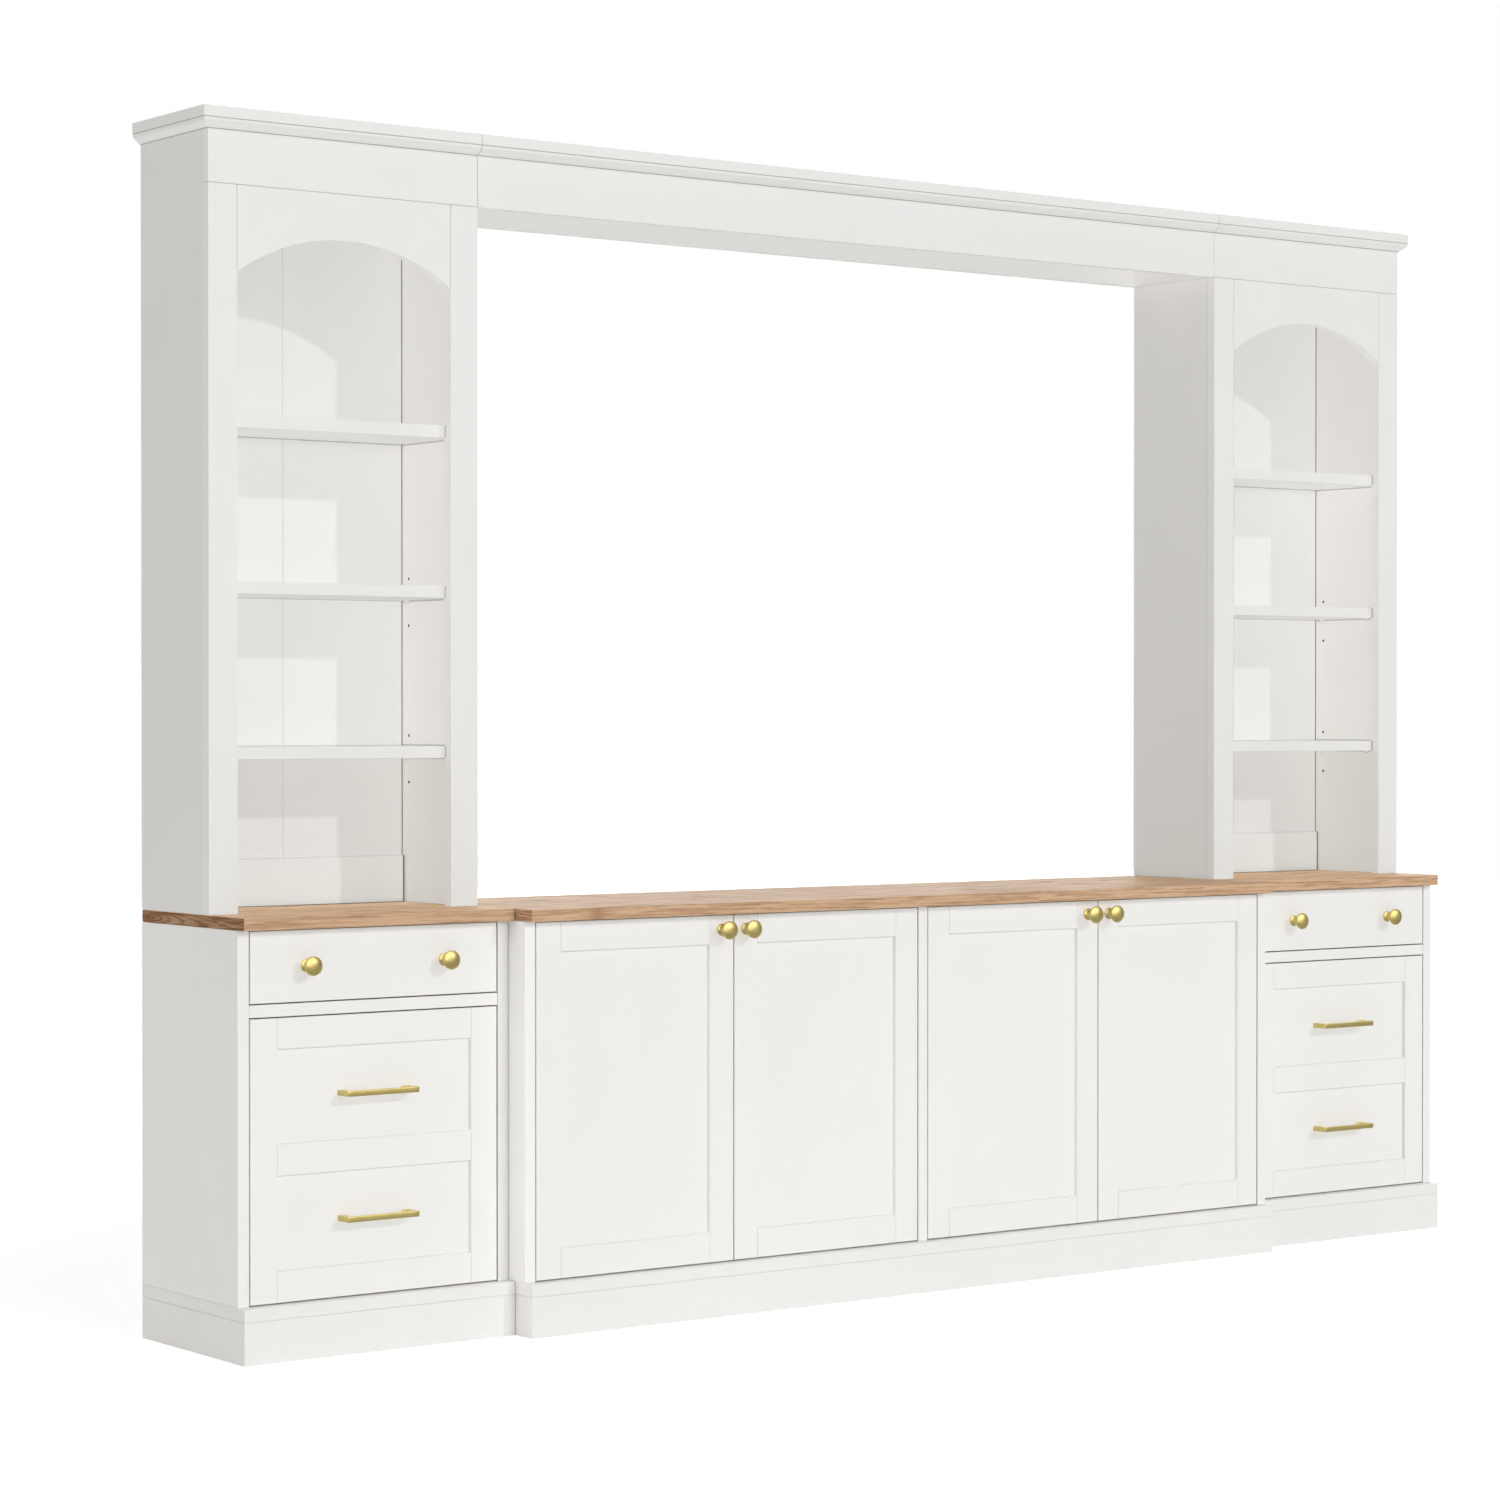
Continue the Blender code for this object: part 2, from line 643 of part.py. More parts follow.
def hinge_arm_outline(inward):
    """Plan of a hinge's plate and arm, from the panel's face (x = 0) to over the door's cup."""
    step = REVEAL + PIVOT_INSET + HINGE_SWING_REACH
    tip = REVEAL + HINGE_CUP_INSET
    near = BOARD + SEAT_GAP
    clear = BOARD + HINGE_SWING_GAP
    far = near + HINGE_ARM_THICKNESS
    corners = [(-FUSE, clear), (step, clear), (step, near), (tip, near), (tip, far), (HINGE_ARM_RISE, far),
               (HINGE_ARM_RISE, HINGE_ARM_LENGTH), (-FUSE, HINGE_ARM_LENGTH)]
    return [(inward * x, y) for x, y in corners]


def join_hinge_arms(item, face_x, inward, z_low):
    """Screws the hinge arms to one face of a panel."""
    shape = bmesh.new()
    half = HINGE_ARM_WIDTH / 2
    for level in hinge_levels():
        outline = [(face_x + x, y) for x, y in hinge_arm_outline(inward)]
        fill_prism(shape, outline, "Z", level - half - z_low, level + half - z_low)
    add_tool(item, "UNION", shape, "hinge_arms_" + ("right" if inward > 0 else "left"))


def fit_console_panel(item, face_x, inward, z_low):
    """Gives one face of a console panel its pin holes and hinge arms."""
    rows = [z - z_low for z in pin_rows(CONSOLE_SHELF_HEIGHT)]
    cut_pin_holes(item, face_x, inward, console_pin_columns(), rows)
    join_hinge_arms(item, face_x, inward, z_low)


def build_console():
    """The low cabinet between the piers, with four doors."""
    z0, z1 = FLOOR_TOP + SEAT_GAP, UNDER_TOP - SEAT_GAP
    left = add_side_panel("console_left_side", -CONSOLE_HALF, 1, Y_CONSOLE, z0, z1)
    fit_console_panel(left, BOARD, 1, z0)
    right = add_side_panel("console_right_side", CONSOLE_HALF - BOARD, -1, Y_CONSOLE, z0, z1)
    fit_console_panel(right, 0.0, -1, z0)
    divider = add_board("console_divider", (-BOARD / 2, Y_CONSOLE, z0), (BOARD / 2, Y_SHEET - SEAT_GAP, z1),
                        "white_paint")
    fit_console_panel(divider, BOARD, 1, z0)
    fit_console_panel(divider, 0.0, -1, z0)
    add_base("console_base", -CONSOLE_HALF, CONSOLE_HALF, Y_CONSOLE - TOP_OVERHANG, Y_BACK)
    add_console_back(z0, z1)
    add_board("console_worktop", (-CONSOLE_HALF, Y_CONSOLE - TOP_OVERHANG, UNDER_TOP),
              (CONSOLE_HALF, Y_BACK, BASE_HEIGHT), "oak_top", TOP_ARRIS, 2)
    for label, side in (("left", -1), ("right", 1)):
        x0, x1 = side_span(side, BOARD / 2 + SHELF_PLAY, CONSOLE_HALF - BOARD - SHELF_PLAY)
        low = (x0, Y_CONSOLE + CONSOLE_SHELF_SETBACK, CONSOLE_SHELF_HEIGHT)
        high = (x1, Y_SHEET - SEAT_GAP, CONSOLE_SHELF_HEIGHT + BOARD)
        add_board("console_" + label + "_shelf", low, high, "white_paint", ARRIS)
    build_doors()


def cut_hinge_cups(door, centre_x, hinge_side):
    """Sinks the open half of each hinge cup into the back of a door, beyond the tip of its arm."""
    shape = bmesh.new()
    for level in hinge_levels():
        arc = arc_points((0, level - FRONT_BOTTOM), HINGE_CUP_RADIUS, -90, 90, HINGE_CUP_STEPS)
        outline = [(centre_x - hinge_side * x, z) for x, z in arc]
        fill_prism(shape, outline, "Y", BOARD - HINGE_CUP_DEPTH, BOARD + OVERRUN)
    add_tool(door, "DIFFERENCE", shape, "hinge_cups")


def add_door(number, x0, x1, hinge_side):
    """A door on its pivot empty; hinge_side is -1 for the left edge and 1 for the right edge."""
    name = "console_door_" + str(number)
    door = add_front(name, x0, x1, Y_CONSOLE, FRONT_BOTTOM, FRONT_TOP, 1)
    width = x1 - x0
    cut_hinge_cups(door, HINGE_CUP_INSET if hinge_side < 0 else width - HINGE_CUP_INSET, hinge_side)
    hinge_edge, free_edge = (x0, x1) if hinge_side < 0 else (x1, x0)
    pivot_x = hinge_edge - hinge_side * PIVOT_INSET
    pivot = add_empty(name + "_pivot", Vector((pivot_x, Y_CONSOLE + PIVOT_DEPTH, FRONT_BOTTOM)))
    inset = FRAME_MEMBER / 2
    place = Vector((free_edge + hinge_side * inset, Y_CONSOLE - SEAT_GAP, FRONT_TOP - inset))
    knob = add_knob("console_knob_" + str(number), place)
    for item in (door, knob):
        carried_by(item, pivot)


def build_doors():
    """Two pairs of doors, each hinged at its outer edges and meeting in the middle of its bay."""
    bay_far = CONSOLE_HALF - BOARD
    bay_near = BOARD / 2
    door_width = (bay_far - bay_near - 3 * REVEAL) / 2
    first = -bay_far + REVEAL
    second = first + door_width + REVEAL
    third = bay_near + REVEAL
    fourth = third + door_width + REVEAL
    for number, x0, hinge_side in ((1, first, -1), (2, second, 1), (3, third, -1), (4, fourth, 1)):
        add_door(number, x0, x0 + door_width, hinge_side)


def face_frame_outline():
    """Front view of a tower's frame: two stiles, the arched valance and the frieze above it."""
    height = CAP_BOTTOM - SEAT_GAP - (BASE_HEIGHT + SEAT_GAP)
    spring = ARCH_SPRING - (BASE_HEIGHT + SEAT_GAP)
    half_chord = PIER_WIDTH / 2 - STILE_WIDTH - ARCH_LEDGE
    radius = (half_chord ** 2 + ARCH_RISE ** 2) / (2 * ARCH_RISE)
    spread = math.degrees(math.asin(half_chord / radius))
    middle = PIER_WIDTH / 2
    centre = (middle, spring + ARCH_RISE - radius)
    arch = arc_points(centre, radius, 90 - spread, 90 + spread, ARCH_SEGMENTS)
    outline = [(0, 0), (0, height), (PIER_WIDTH, height), (PIER_WIDTH, 0), (PIER_WIDTH - STILE_WIDTH, 0),
               (PIER_WIDTH - STILE_WIDTH, spring)]
    return outline + arch + [(STILE_WIDTH, spring), (STILE_WIDTH, 0)]


def add_face_frame(prefix, low_x):
    """The arched face frame of a tower, with fine seams where its members meet."""
    z0 = BASE_HEIGHT + SEAT_GAP
    shape = bmesh.new()
    fill_prism(shape, face_frame_outline(), "Y", 0, BOARD)
    item = link_mesh(prefix + "_face_frame", shape, (low_x, Y_TOWER, z0))
    add_finish(item, "white_paint")
    seams = bmesh.new()
    seam_z = FRIEZE_BOTTOM - z0
    half = SEAM_WIDTH / 2
    far = PIER_WIDTH + OVERRUN
    behind = BOARD + OVERRUN
    band = [(-OVERRUN, -OVERRUN), (far, -OVERRUN), (far, behind), (PIER_WIDTH - SEAM_DEPTH, behind),
            (PIER_WIDTH - SEAM_DEPTH, SEAM_DEPTH), (SEAM_DEPTH, SEAM_DEPTH), (SEAM_DEPTH, behind),
            (-OVERRUN, behind)]
    fill_prism(seams, band, "Z", seam_z - half, seam_z + half)
    add_tool(item, "DIFFERENCE", seams, "frieze_seam")
    joints = bmesh.new()
    spring = ARCH_SPRING - z0
    for x in (STILE_WIDTH, PIER_WIDTH - STILE_WIDTH):
        low = (x - half, -OVERRUN, spring + SEAM_WIDTH)
        fill_box(joints, low, (x + half, SEAM_DEPTH, seam_z - SEAM_WIDTH))
    add_tool(item, "DIFFERENCE", joints, "stile_seams")
    return item


def shelf_bottoms():
    """Heights of the undersides of a tower's shelves."""
    return [BASE_HEIGHT + (i + 1) * CUBBY_HEIGHT + i * BOARD for i in range(CUBBY_SHELVES)]


def add_tower_back(prefix, x0, x1):
    """The back sheet with its middle seam, on the foot rail, with the fixed top shelf."""
    groove = SHEET_GROOVE_DEPTH - SEAT_GAP
    rail_low = BASE_HEIGHT + SEAT_GAP
    sheet_low = BASE_HEIGHT + BACK_RAIL_HEIGHT / 2
    origin = (x0 + BOARD - groove, Y_SHEET, sheet_low)
    item = add_board(prefix + "_back", origin, (x1 - BOARD + groove, Y_SHEET_BACK, CAP_BOTTOM - SEAT_GAP),
                     "white_sheet")
    seam = bmesh.new()
    middle = (x0 + x1) / 2 - origin[0]
    half = SEAM_WIDTH / 2
    fill_box(seam, (middle - half, -OVERRUN, -OVERRUN),
             (middle + half, SEAM_DEPTH, CAP_BOTTOM - SEAT_GAP - sheet_low + OVERRUN))
    add_tool(item, "DIFFERENCE", seam, "middle_seam")
    left = groove + SEAT_GAP
    right = x1 - BOARD - SEAT_GAP - origin[0]
    rail = bmesh.new()
    fill_box(rail, (left, -BACK_RAIL_PROUD, rail_low - sheet_low),
             (right, BOARD - BACK_RAIL_PROUD, BASE_HEIGHT + BACK_RAIL_HEIGHT - sheet_low))
    add_tool(item, "UNION", rail, "foot_rail")
    shelf = bmesh.new()
    shelf_low = shelf_bottoms()[-1] - sheet_low
    shelf_front = Y_TOWER + BOARD + SEAT_GAP - Y_SHEET
    fill_box(shelf, (left, shelf_front, shelf_low), (right, FUSE, shelf_low + BOARD))
    add_tool(item, "UNION", shelf, "fixed_shelf")
    return item


def build_tower(prefix, side):
    """The open shelf unit that stands on a pier's worktop."""
    x0, x1 = side_span(side, PIER_INNER, PIER_OUTER)
    z0, z1 = BASE_HEIGHT + SEAT_GAP, CAP_BOTTOM - SEAT_GAP
    y_side = Y_TOWER + BOARD + SEAT_GAP
    bottoms = shelf_bottoms()
    rows = [z - z0 for z in pin_rows(bottoms[0]) + pin_rows(bottoms[1])]
    columns = (PIN_FRONT_INSET, Y_SHEET - y_side - PIN_BACK_INSET)
    outer_low = x1 - BOARD if side > 0 else x0
    inner_low = x0 if side > 0 else x1 - BOARD
    for label, low_x, inward in (("outer", outer_low, -side), ("inner", inner_low, side)):
        panel = add_side_panel(prefix + "_tower_" + label + "_side", low_x, inward, y_side, z0, z1)
        cut_pin_holes(panel, BOARD if inward > 0 else 0.0, inward, columns, rows)
    add_face_frame(prefix + "_tower", x0)
    add_tower_back(prefix + "_tower", x0, x1)
    for label, bottom in zip(("lower", "middle"), bottoms):
        add_board(prefix + "_tower_" + label + "_shelf", (x0 + BOARD + SHELF_PLAY, y_side, bottom),
                  (x1 - BOARD - SHELF_PLAY, Y_SHEET - SEAT_GAP, bottom + BOARD), "white_paint", ARRIS)
    cap_span = side_span(side, PIER_INNER, PIER_OUTER + CAP_PROJECTION)
    add_crown(prefix + "_crown", tower_crown_path(side), cap_span)


def crown_profile():
    """Section of the crown moulding, as (distance out from the face, height), with a shadow line at each end."""
    bottom = CAP_BOTTOM - MOULDING_HEIGHT
    fillet = bottom + MOULDING_FILLET
    start = fillet + SHADOW_LINE
    reach = CAP_PROJECTION - CAP_SHADOW
    lip = CAP_BOTTOM - MOULDING_LIP
    points = [(SEAT_GAP, CAP_BOTTOM + FUSE), (SEAT_GAP, bottom), (MOULDING_FOOT, bottom), (MOULDING_FOOT, fillet),
              (MOULDING_FOOT - SHADOW_DEPTH, fillet), (MOULDING_FOOT - SHADOW_DEPTH, start), (MOULDING_FOOT, start)]
    for i in range(1, COVE_SEGMENTS + 1):
        share = i / COVE_SEGMENTS
        swell = math.sin(math.pi / 2 * share)
        out = MOULDING_FOOT + (reach - MOULDING_FOOT) * (share + swell) / 2
        points.append((out, start + (lip - start) * share))
    top = CAP_BOTTOM - SHADOW_LINE
    points += [(reach, top), (reach - SHADOW_DEPTH, top), (reach - SHADOW_DEPTH, CAP_BOTTOM + FUSE)]
    return points


def tower_crown_path(side):
    """Corners of the tower that the moulding follows, with the outward direction at each."""
    return [((side * PIER_INNER, Y_TOWER), (0, -1)), ((side * PIER_OUTER, Y_TOWER), (side, -1)),
            ((side * PIER_OUTER, Y_BACK), (side, 0))]


def add_crown(name, path, span):
    """A flat cap with the moulding under its front edge, and under its free end on a tower."""
    x0, x1 = span
    origin = Vector((x0, Y_TOWER - CAP_PROJECTION, CAP_BOTTOM))
    item = add_board(name, origin, (x1, Y_BACK, CAP_TOP), "white_paint")
    shape = bmesh.new()
    stations = []
    for (x, y), (out_x, out_y) in path:
        points = [(x + out * out_x, y + out * out_y, z) for out, z in crown_profile()]
        stations.append([shape.verts.new(Vector(point) - origin) for point in points])
    shape.faces.new(stations[0])
    shape.faces.new(stations[-1])
    count = len(stations[0])
    for near, far in zip(stations, stations[1:]):
        for i in range(count):
            j = (i + 1) % count
            shape.faces.new((near[i], near[j], far[j], far[i]))
    add_tool(item, "UNION", shape, "moulding")
    return item


def build_bridge():
    """The open box between the towers, and its crown."""
    z0, z1 = FRIEZE_BOTTOM, CAP_BOTTOM - SEAT_GAP
    width, depth, height = CONSOLE_WIDTH, TOWER_DEPTH, z1 - z0
    outer = ((0, 0), (width, 0), (width, depth), (0, depth))
    inner = ((BOARD, BOARD), (width - BOARD, BOARD), (width - BOARD, depth - BOARD), (BOARD, depth - BOARD))
    shape = bmesh.new()
    rings = []
    for outline, z in ((outer, 0), (outer, height), (inner, height), (inner, 0)):
        rings.append([shape.verts.new((x, y, z)) for x, y in outline])
    for near, far in zip(rings, rings[1:] + rings[:1]):
        for i in range(4):
            j = (i + 1) % 4
            shape.faces.new((near[i], near[j], far[j], far[i]))
    item = link_mesh("bridge_frame", shape, (-CONSOLE_HALF, Y_TOWER, z0))
    add_finish(item, "white_paint")
    path = [((-CONSOLE_HALF, Y_TOWER), (0, -1)), ((CONSOLE_HALF, Y_TOWER), (0, -1))]
    add_crown("bridge_crown", path, (-CONSOLE_HALF, CONSOLE_HALF))


def main():
    """Builds the whole object."""
    clear_scene()
    for prefix, side in (("left_pier", -1), ("right_pier", 1)):
        build_pier_cabinet(prefix, side)
        build_tower(prefix, side)
    build_console()
    build_bridge()


main()
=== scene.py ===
"""Looks of the entertainment centre: paint, oak tops, brass fittings, hinges, slides, pins and the studio."""

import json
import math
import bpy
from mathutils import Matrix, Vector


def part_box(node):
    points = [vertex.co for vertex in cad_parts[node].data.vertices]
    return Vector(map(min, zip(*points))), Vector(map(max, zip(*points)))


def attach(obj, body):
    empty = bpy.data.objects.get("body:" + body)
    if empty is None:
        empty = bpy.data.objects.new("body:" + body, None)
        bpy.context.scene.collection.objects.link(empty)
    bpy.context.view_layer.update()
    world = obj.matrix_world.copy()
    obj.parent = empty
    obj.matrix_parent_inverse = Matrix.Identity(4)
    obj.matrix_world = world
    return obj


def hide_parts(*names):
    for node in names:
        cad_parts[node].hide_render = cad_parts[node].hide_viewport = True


bl_info = {
    "name": "Wall unit looks",
    "version": (1, 0, 0),
    "blender": (4, 5, 0),
    "location": "View3D > Sidebar > Wall unit",
    "description": "Paints the wall unit, grains its oak tops, fits its hardware and sets the studio",
    "category": "Object",
}

import bmesh
import bpy
from mathutils import Matrix, Vector

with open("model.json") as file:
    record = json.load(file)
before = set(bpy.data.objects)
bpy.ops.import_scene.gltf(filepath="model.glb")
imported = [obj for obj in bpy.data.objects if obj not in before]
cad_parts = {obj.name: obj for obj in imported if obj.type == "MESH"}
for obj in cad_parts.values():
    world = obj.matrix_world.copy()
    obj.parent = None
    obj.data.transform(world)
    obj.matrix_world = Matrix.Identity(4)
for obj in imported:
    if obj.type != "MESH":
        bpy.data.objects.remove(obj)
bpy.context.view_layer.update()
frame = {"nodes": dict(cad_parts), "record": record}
CARCASE = "carcase"
SIDES = ("left", "right")
DOORS = (1, 2, 3, 4)


# Sizes and colours that a user would change

TINT = {"subtype": "COLOR", "size": 3, "min": 0, "max": 1}
SHARE = {"subtype": "FACTOR", "min": 0, "max": 1}
LENGTH = {"subtype": "DISTANCE", "unit": "LENGTH", "min": 0}
ANGLE = {"subtype": "ANGLE", "unit": "ROTATION"}
STRENGTH = {"min": 0}


def setting(name, description, default, options):
    """A number, or with several parts a colour or place, that a user would change."""
    kind = bpy.props.FloatVectorProperty if isinstance(default, tuple) else bpy.props.FloatProperty
    return kind(name=name, description=description, default=default, **options)


class PaintSettings(bpy.types.PropertyGroup):
    """The white finish of the boards."""
    colour: setting("Paint", "Colour of the painted boards", (0.885, 0.878, 0.862), TINT)
    shade: setting("Paint clouds", "Colour of the darker clouds in the paint", (0.868, 0.861, 0.845), TINT)
    tower_share: setting("Tower paint", "Brightness of towers and bridge against the cabinets", 0.955, SHARE)
    # Painted shade: the back sheets' fronts are darkened to this share.
    sheet_share: setting("Sheet paint", "Brightness of the back sheets against the towers", 0.965, SHARE)
    # Painted shade: the joint colour darkens gaps, grooves, corners, holes and contact lines.
    joint: setting("Joint lines", "Colour of the hairlines between boards", (0.10, 0.095, 0.088), TINT)
    roughness: setting("Sheen roughness", "Roughness of the satin paint", 0.42, SHARE)
    raw_board: setting("Raw board", "Colour of the rear of the back boards", (0.400, 0.285, 0.180), TINT)
    raw_fibre: setting("Raw fibres", "Colour of the darker fibres in them", (0.285, 0.190, 0.110), TINT)


class OakSettings(bpy.types.PropertyGroup):
    """The oak of the worktops."""
    light: setting("Early wood", "Colour of the pale wood between the rings", (0.770, 0.545, 0.355), TINT)
    dark: setting("Late wood", "Colour of the dark lines of the rings", (0.500, 0.305, 0.185), TINT)
    knot: setting("Knots", "Colour of the pores and small knots", (0.185, 0.085, 0.040), TINT)
    end: setting("Ends", "Colour of the darker wood at the worktops' ends", (0.285, 0.130, 0.058), TINT)
    bounce: setting("Bounce", "Colour of the light that the oak throws up", (0.60, 0.56, 0.50), TINT)
    ring: setting("Ring spacing", "Distance between growth rings", 0.0062, {**LENGTH, "min": 0.001})
    roughness: setting("Oil roughness", "Roughness of the matt oiled surface", 0.50, SHARE)


class MetalSettings(bpy.types.PropertyGroup):
    """The brass of the knobs and pulls, and the plated steel of the hinges and slides."""
    brass: setting("Brass", "Colour of the satin brass", (0.610, 0.490, 0.165), TINT)
    brass_roughness: setting("Brass roughness", "Roughness of the satin brass", 0.40, SHARE)
    steel: setting("Plated steel", "Colour of the hinges, slides and screws", (0.560, 0.565, 0.575), TINT)
    steel_roughness: setting("Steel roughness", "Roughness of the plated steel", 0.30, SHARE)


class FittingSettings(bpy.types.PropertyGroup):
    """Places and sizes of the small fittings."""
    hinge_from_edge: setting("Hinge height", "From a hinge to the door's top or bottom", 0.095, LENGTH)
    cup_inset: setting("Cup inset", "From a hinge cup's middle to the door's hinged edge", 0.0225, LENGTH)
    cup_radius: setting("Cup radius", "Radius of a hinge cup", 0.0175, LENGTH)
    cup_depth: setting("Cup depth", "Depth of a hinge cup", 0.0115, LENGTH)
    pin_hole: setting("Pin hole", "From a pin's middle up to the shelf that it carries", 0.0025, LENGTH)
    shelf_play: setting("Shelf play", "Gap between the end of a loose shelf and the panel", 0.001, LENGTH)
    pin_front: setting("Pin from front", "From the front pins to the shelf's front edge", 0.037, LENGTH)
    pin_back: setting("Pin from back", "From the back pins to the back sheet", 0.0195, LENGTH)
    screw_radius: setting("Screw head radius", "Radius of a screw head", 0.0034, LENGTH)


class StudioSettings(bpy.types.PropertyGroup):
    """Camera and light."""
    camera_place: setting("Camera place", "Where the camera stands", (-3.82799, -4.8385, 0.92474),
                          {"subtype": "TRANSLATION", "unit": "LENGTH", "size": 3})
    camera_turn: setting("Camera turn", "Turn of the camera to the right", math.radians(36.62444), ANGLE)
    camera_dip: setting("Camera dip", "Tilt of the camera downwards", math.radians(0.53353), ANGLE)
    lens: setting("Lens", "Focal length on a 36 mm frame", 90.43, {"subtype": "DISTANCE_CAMERA"})
    sky: setting("Sky strength", "Even white light from all round", 0.255, STRENGTH)
    key: setting("Key sun", "Sun that draws the shadows, from the upper right in front", 0.47, STRENGTH)
    front: setting("Front fill", "Light from the front that only the cabinets shade", 1.30, STRENGTH)
    left: setting("Left fill", "Light from the left that only the cabinets shade", 1.02, STRENGTH)
    below: setting("Floor fill", "Light thrown up by a white floor", 1.35, STRENGTH)
    above: setting("Top light", "Soft light from above", 0.35, STRENGTH)
    rear: setting("Rear light", "Soft light from behind on the right", 1.50, STRENGTH)
    glint: setting("Glint", "Brightness of the upper left of the room as metal mirrors it", 2.5, STRENGTH)
    gloom: setting("Gloom", "Brightness of the lower right of the room as metal mirrors it", 0.27, STRENGTH)
    floor: setting("Floor", "Colour of the floor", (0.90, 0.90, 0.90), TINT)
    floor_glow: setting("Floor glow", "White that the camera sees in the floor", 1.45, STRENGTH)


SETTINGS = {
    "wall_unit_paint": PaintSettings,
    "wall_unit_oak": OakSettings,
    "wall_unit_metal": MetalSettings,
    "wall_unit_fittings": FittingSettings,
    "wall_unit_studio": StudioSettings,
}


# Nodes of a material

class Value:
    """A socket of a node tree, with the usual arithmetic; | takes the larger of two."""

    def __init__(self, socket):
        self.socket = socket

    def __add__(self, other):
        return maths("ADD", self, other)

    def __sub__(self, other):
        return maths("SUBTRACT", self, other)

    def __rsub__(self, other):
        return maths("SUBTRACT", other, self)

    def __mul__(self, other):
        return maths("MULTIPLY", self, other)

    def __truediv__(self, other):
        return maths("DIVIDE", self, other)

    def __gt__(self, other):
        return maths("GREATER_THAN", self, other)

    def __lt__(self, other):
        return maths("LESS_THAN", self, other)

    def __or__(self, other):
        return maths("MAXIMUM", self, other)

    def __abs__(self):
        return maths("ABSOLUTE", self)


def tree_of(parts):
    """The node tree of the first value among several inputs."""
    return next(part.socket.id_data for part in parts if isinstance(part, Value))


def put(tree, kind, **options):
    """Adds a node and sets its options."""
    node = tree.nodes.new(kind)
    for key, option in options.items():
        setattr(node, key, option)
    return node


def feed(source, target):
    """Joins a value to an input, or writes a plain number, colour or vector into it."""
    if isinstance(source, Value):
        target.id_data.links.new(source.socket, target)
    else:
        target.default_value = source


def wire(kind, inputs, output=0, **options):
    """Adds a node, feeds its inputs by name or number, and gives one of its outputs."""
    node = put(tree_of(inputs.values()), kind, **options)
    for key, source in inputs.items():
        feed(source, node.inputs[key])
    return Value(node.outputs[output])


def maths(operation, *parts, clamp=False):
    """One step of arithmetic."""
    return wire("ShaderNodeMath", dict(enumerate(parts)), operation=operation, use_clamp=clamp)


def hypotenuse(first, second):
    """The length of a vector with two upright parts."""
    return maths("SQRT", first * first + second * second)


def remap(value, low, high, to_low=0.0, to_high=1.0):
    """Maps a stretch of values softly to another, clamped at both ends."""
    inputs = {"Value": value, "From Min": low, "From Max": high, "To Min": to_low, "To Max": to_high}
    return wire("ShaderNodeMapRange", inputs, "Result", interpolation_type="SMOOTHSTEP")


def blend(factor, first, second):
    """Mixes two colours."""
    return wire("ShaderNodeMix", {0: factor, 6: first, 7: second}, 2, data_type="RGBA")


def lighten(colour, share):
    """A colour brought to a share of its brightness."""
    return wire("ShaderNodeHueSaturation", {"Color": colour, "Value": share}, "Color")


def mix_shaders(factor, first, second):
    """Mixes two shaders."""
    return wire("ShaderNodeMixShader", {0: factor, 1: first, 2: second})


def light_world(shader, colour, strength):
    """Gives one background shader of a world its light."""
    feed(rgba(colour), shader.inputs["Color"])
    feed(strength, shader.inputs["Strength"])
    return Value(shader.outputs[0])


def stretched(vector, scale):
    """Scales a vector along its own axes."""
    return wire("ShaderNodeMapping", {"Vector": vector, "Scale": scale}, "Vector")


def noise(vector, scale, detail, rough):
    """Soft noise between 0 and 1; a scale with three parts stretches it along the axes."""
    if isinstance(scale, tuple):
        vector = stretched(vector, scale)
        scale = 1.0
    inputs = {"Vector": vector, "Scale": scale, "Detail": detail, "Roughness": rough}
    return wire("ShaderNodeTexNoise", inputs, "Fac")


def split(vector):
    """The three parts of a vector."""
    node = put(tree_of([vector]), "ShaderNodeSeparateXYZ")
    feed(vector, node.inputs[0])
    return [Value(part) for part in node.outputs]


def face_normal(place):
    """The three parts of the face's normal, in the material that the place belongs to."""
    return split(Value(put(tree_of([place]), "ShaderNodeTexCoord").outputs["Normal"]))


def ray(value, kind):
    """1 for rays of one kind, in the node tree that the value belongs to."""
    return Value(put(tree_of([value]), "ShaderNodeLightPath").outputs["Is " + kind + " Ray"])


def rgba(colour):
    """A colour with its alpha."""
    return (*colour, 1.0)


def near(value, level, half):
    """1 within half of a level, fading to nothing at twice that."""
    return remap(abs(value - level), 2 * half, half)


def within(value, low, high):
    """1 between two levels."""
    return (value > low) * (value < high)


def strongest(masks):
    """The strongest of several masks."""
    total = masks[0]
    for mask in masks[1:]:
        total = total | mask
    return total


# Textures

NUMBERS = ("ends", "ring", "tarnish", "roughness", "height")


def add_sockets(group, labels, way):
    """Adds the inputs or outputs of a node group, which are colours unless they are named otherwise."""
    for label in labels:
        kind = "Vector" if label == "vector" else "Float" if label in NUMBERS else "Color"
        group.interface.new_socket(label, in_out=way, socket_type="NodeSocket" + kind)


def texture(name, fill, **inputs):
    """Feeds a node group, which fill draws once, and gives its outputs by name."""
    group = bpy.data.node_groups.get(name)
    if not group:
        group = bpy.data.node_groups.new(name, "ShaderNodeTree")
        add_sockets(group, inputs, "INPUT")
        given = put(group, "NodeGroupInput").outputs
        results = fill(**{label: Value(given[label]) for label in inputs})
        add_sockets(group, results, "OUTPUT")
        out = put(group, "NodeGroupOutput").inputs
        for label, value in results.items():
            feed(value, out[label])
    node = put(tree_of(inputs.values()), "ShaderNodeGroup", node_tree=group)
    for label, source in inputs.items():
        feed(source, node.inputs[label])
    return {socket.name: Value(socket) for socket in node.outputs}


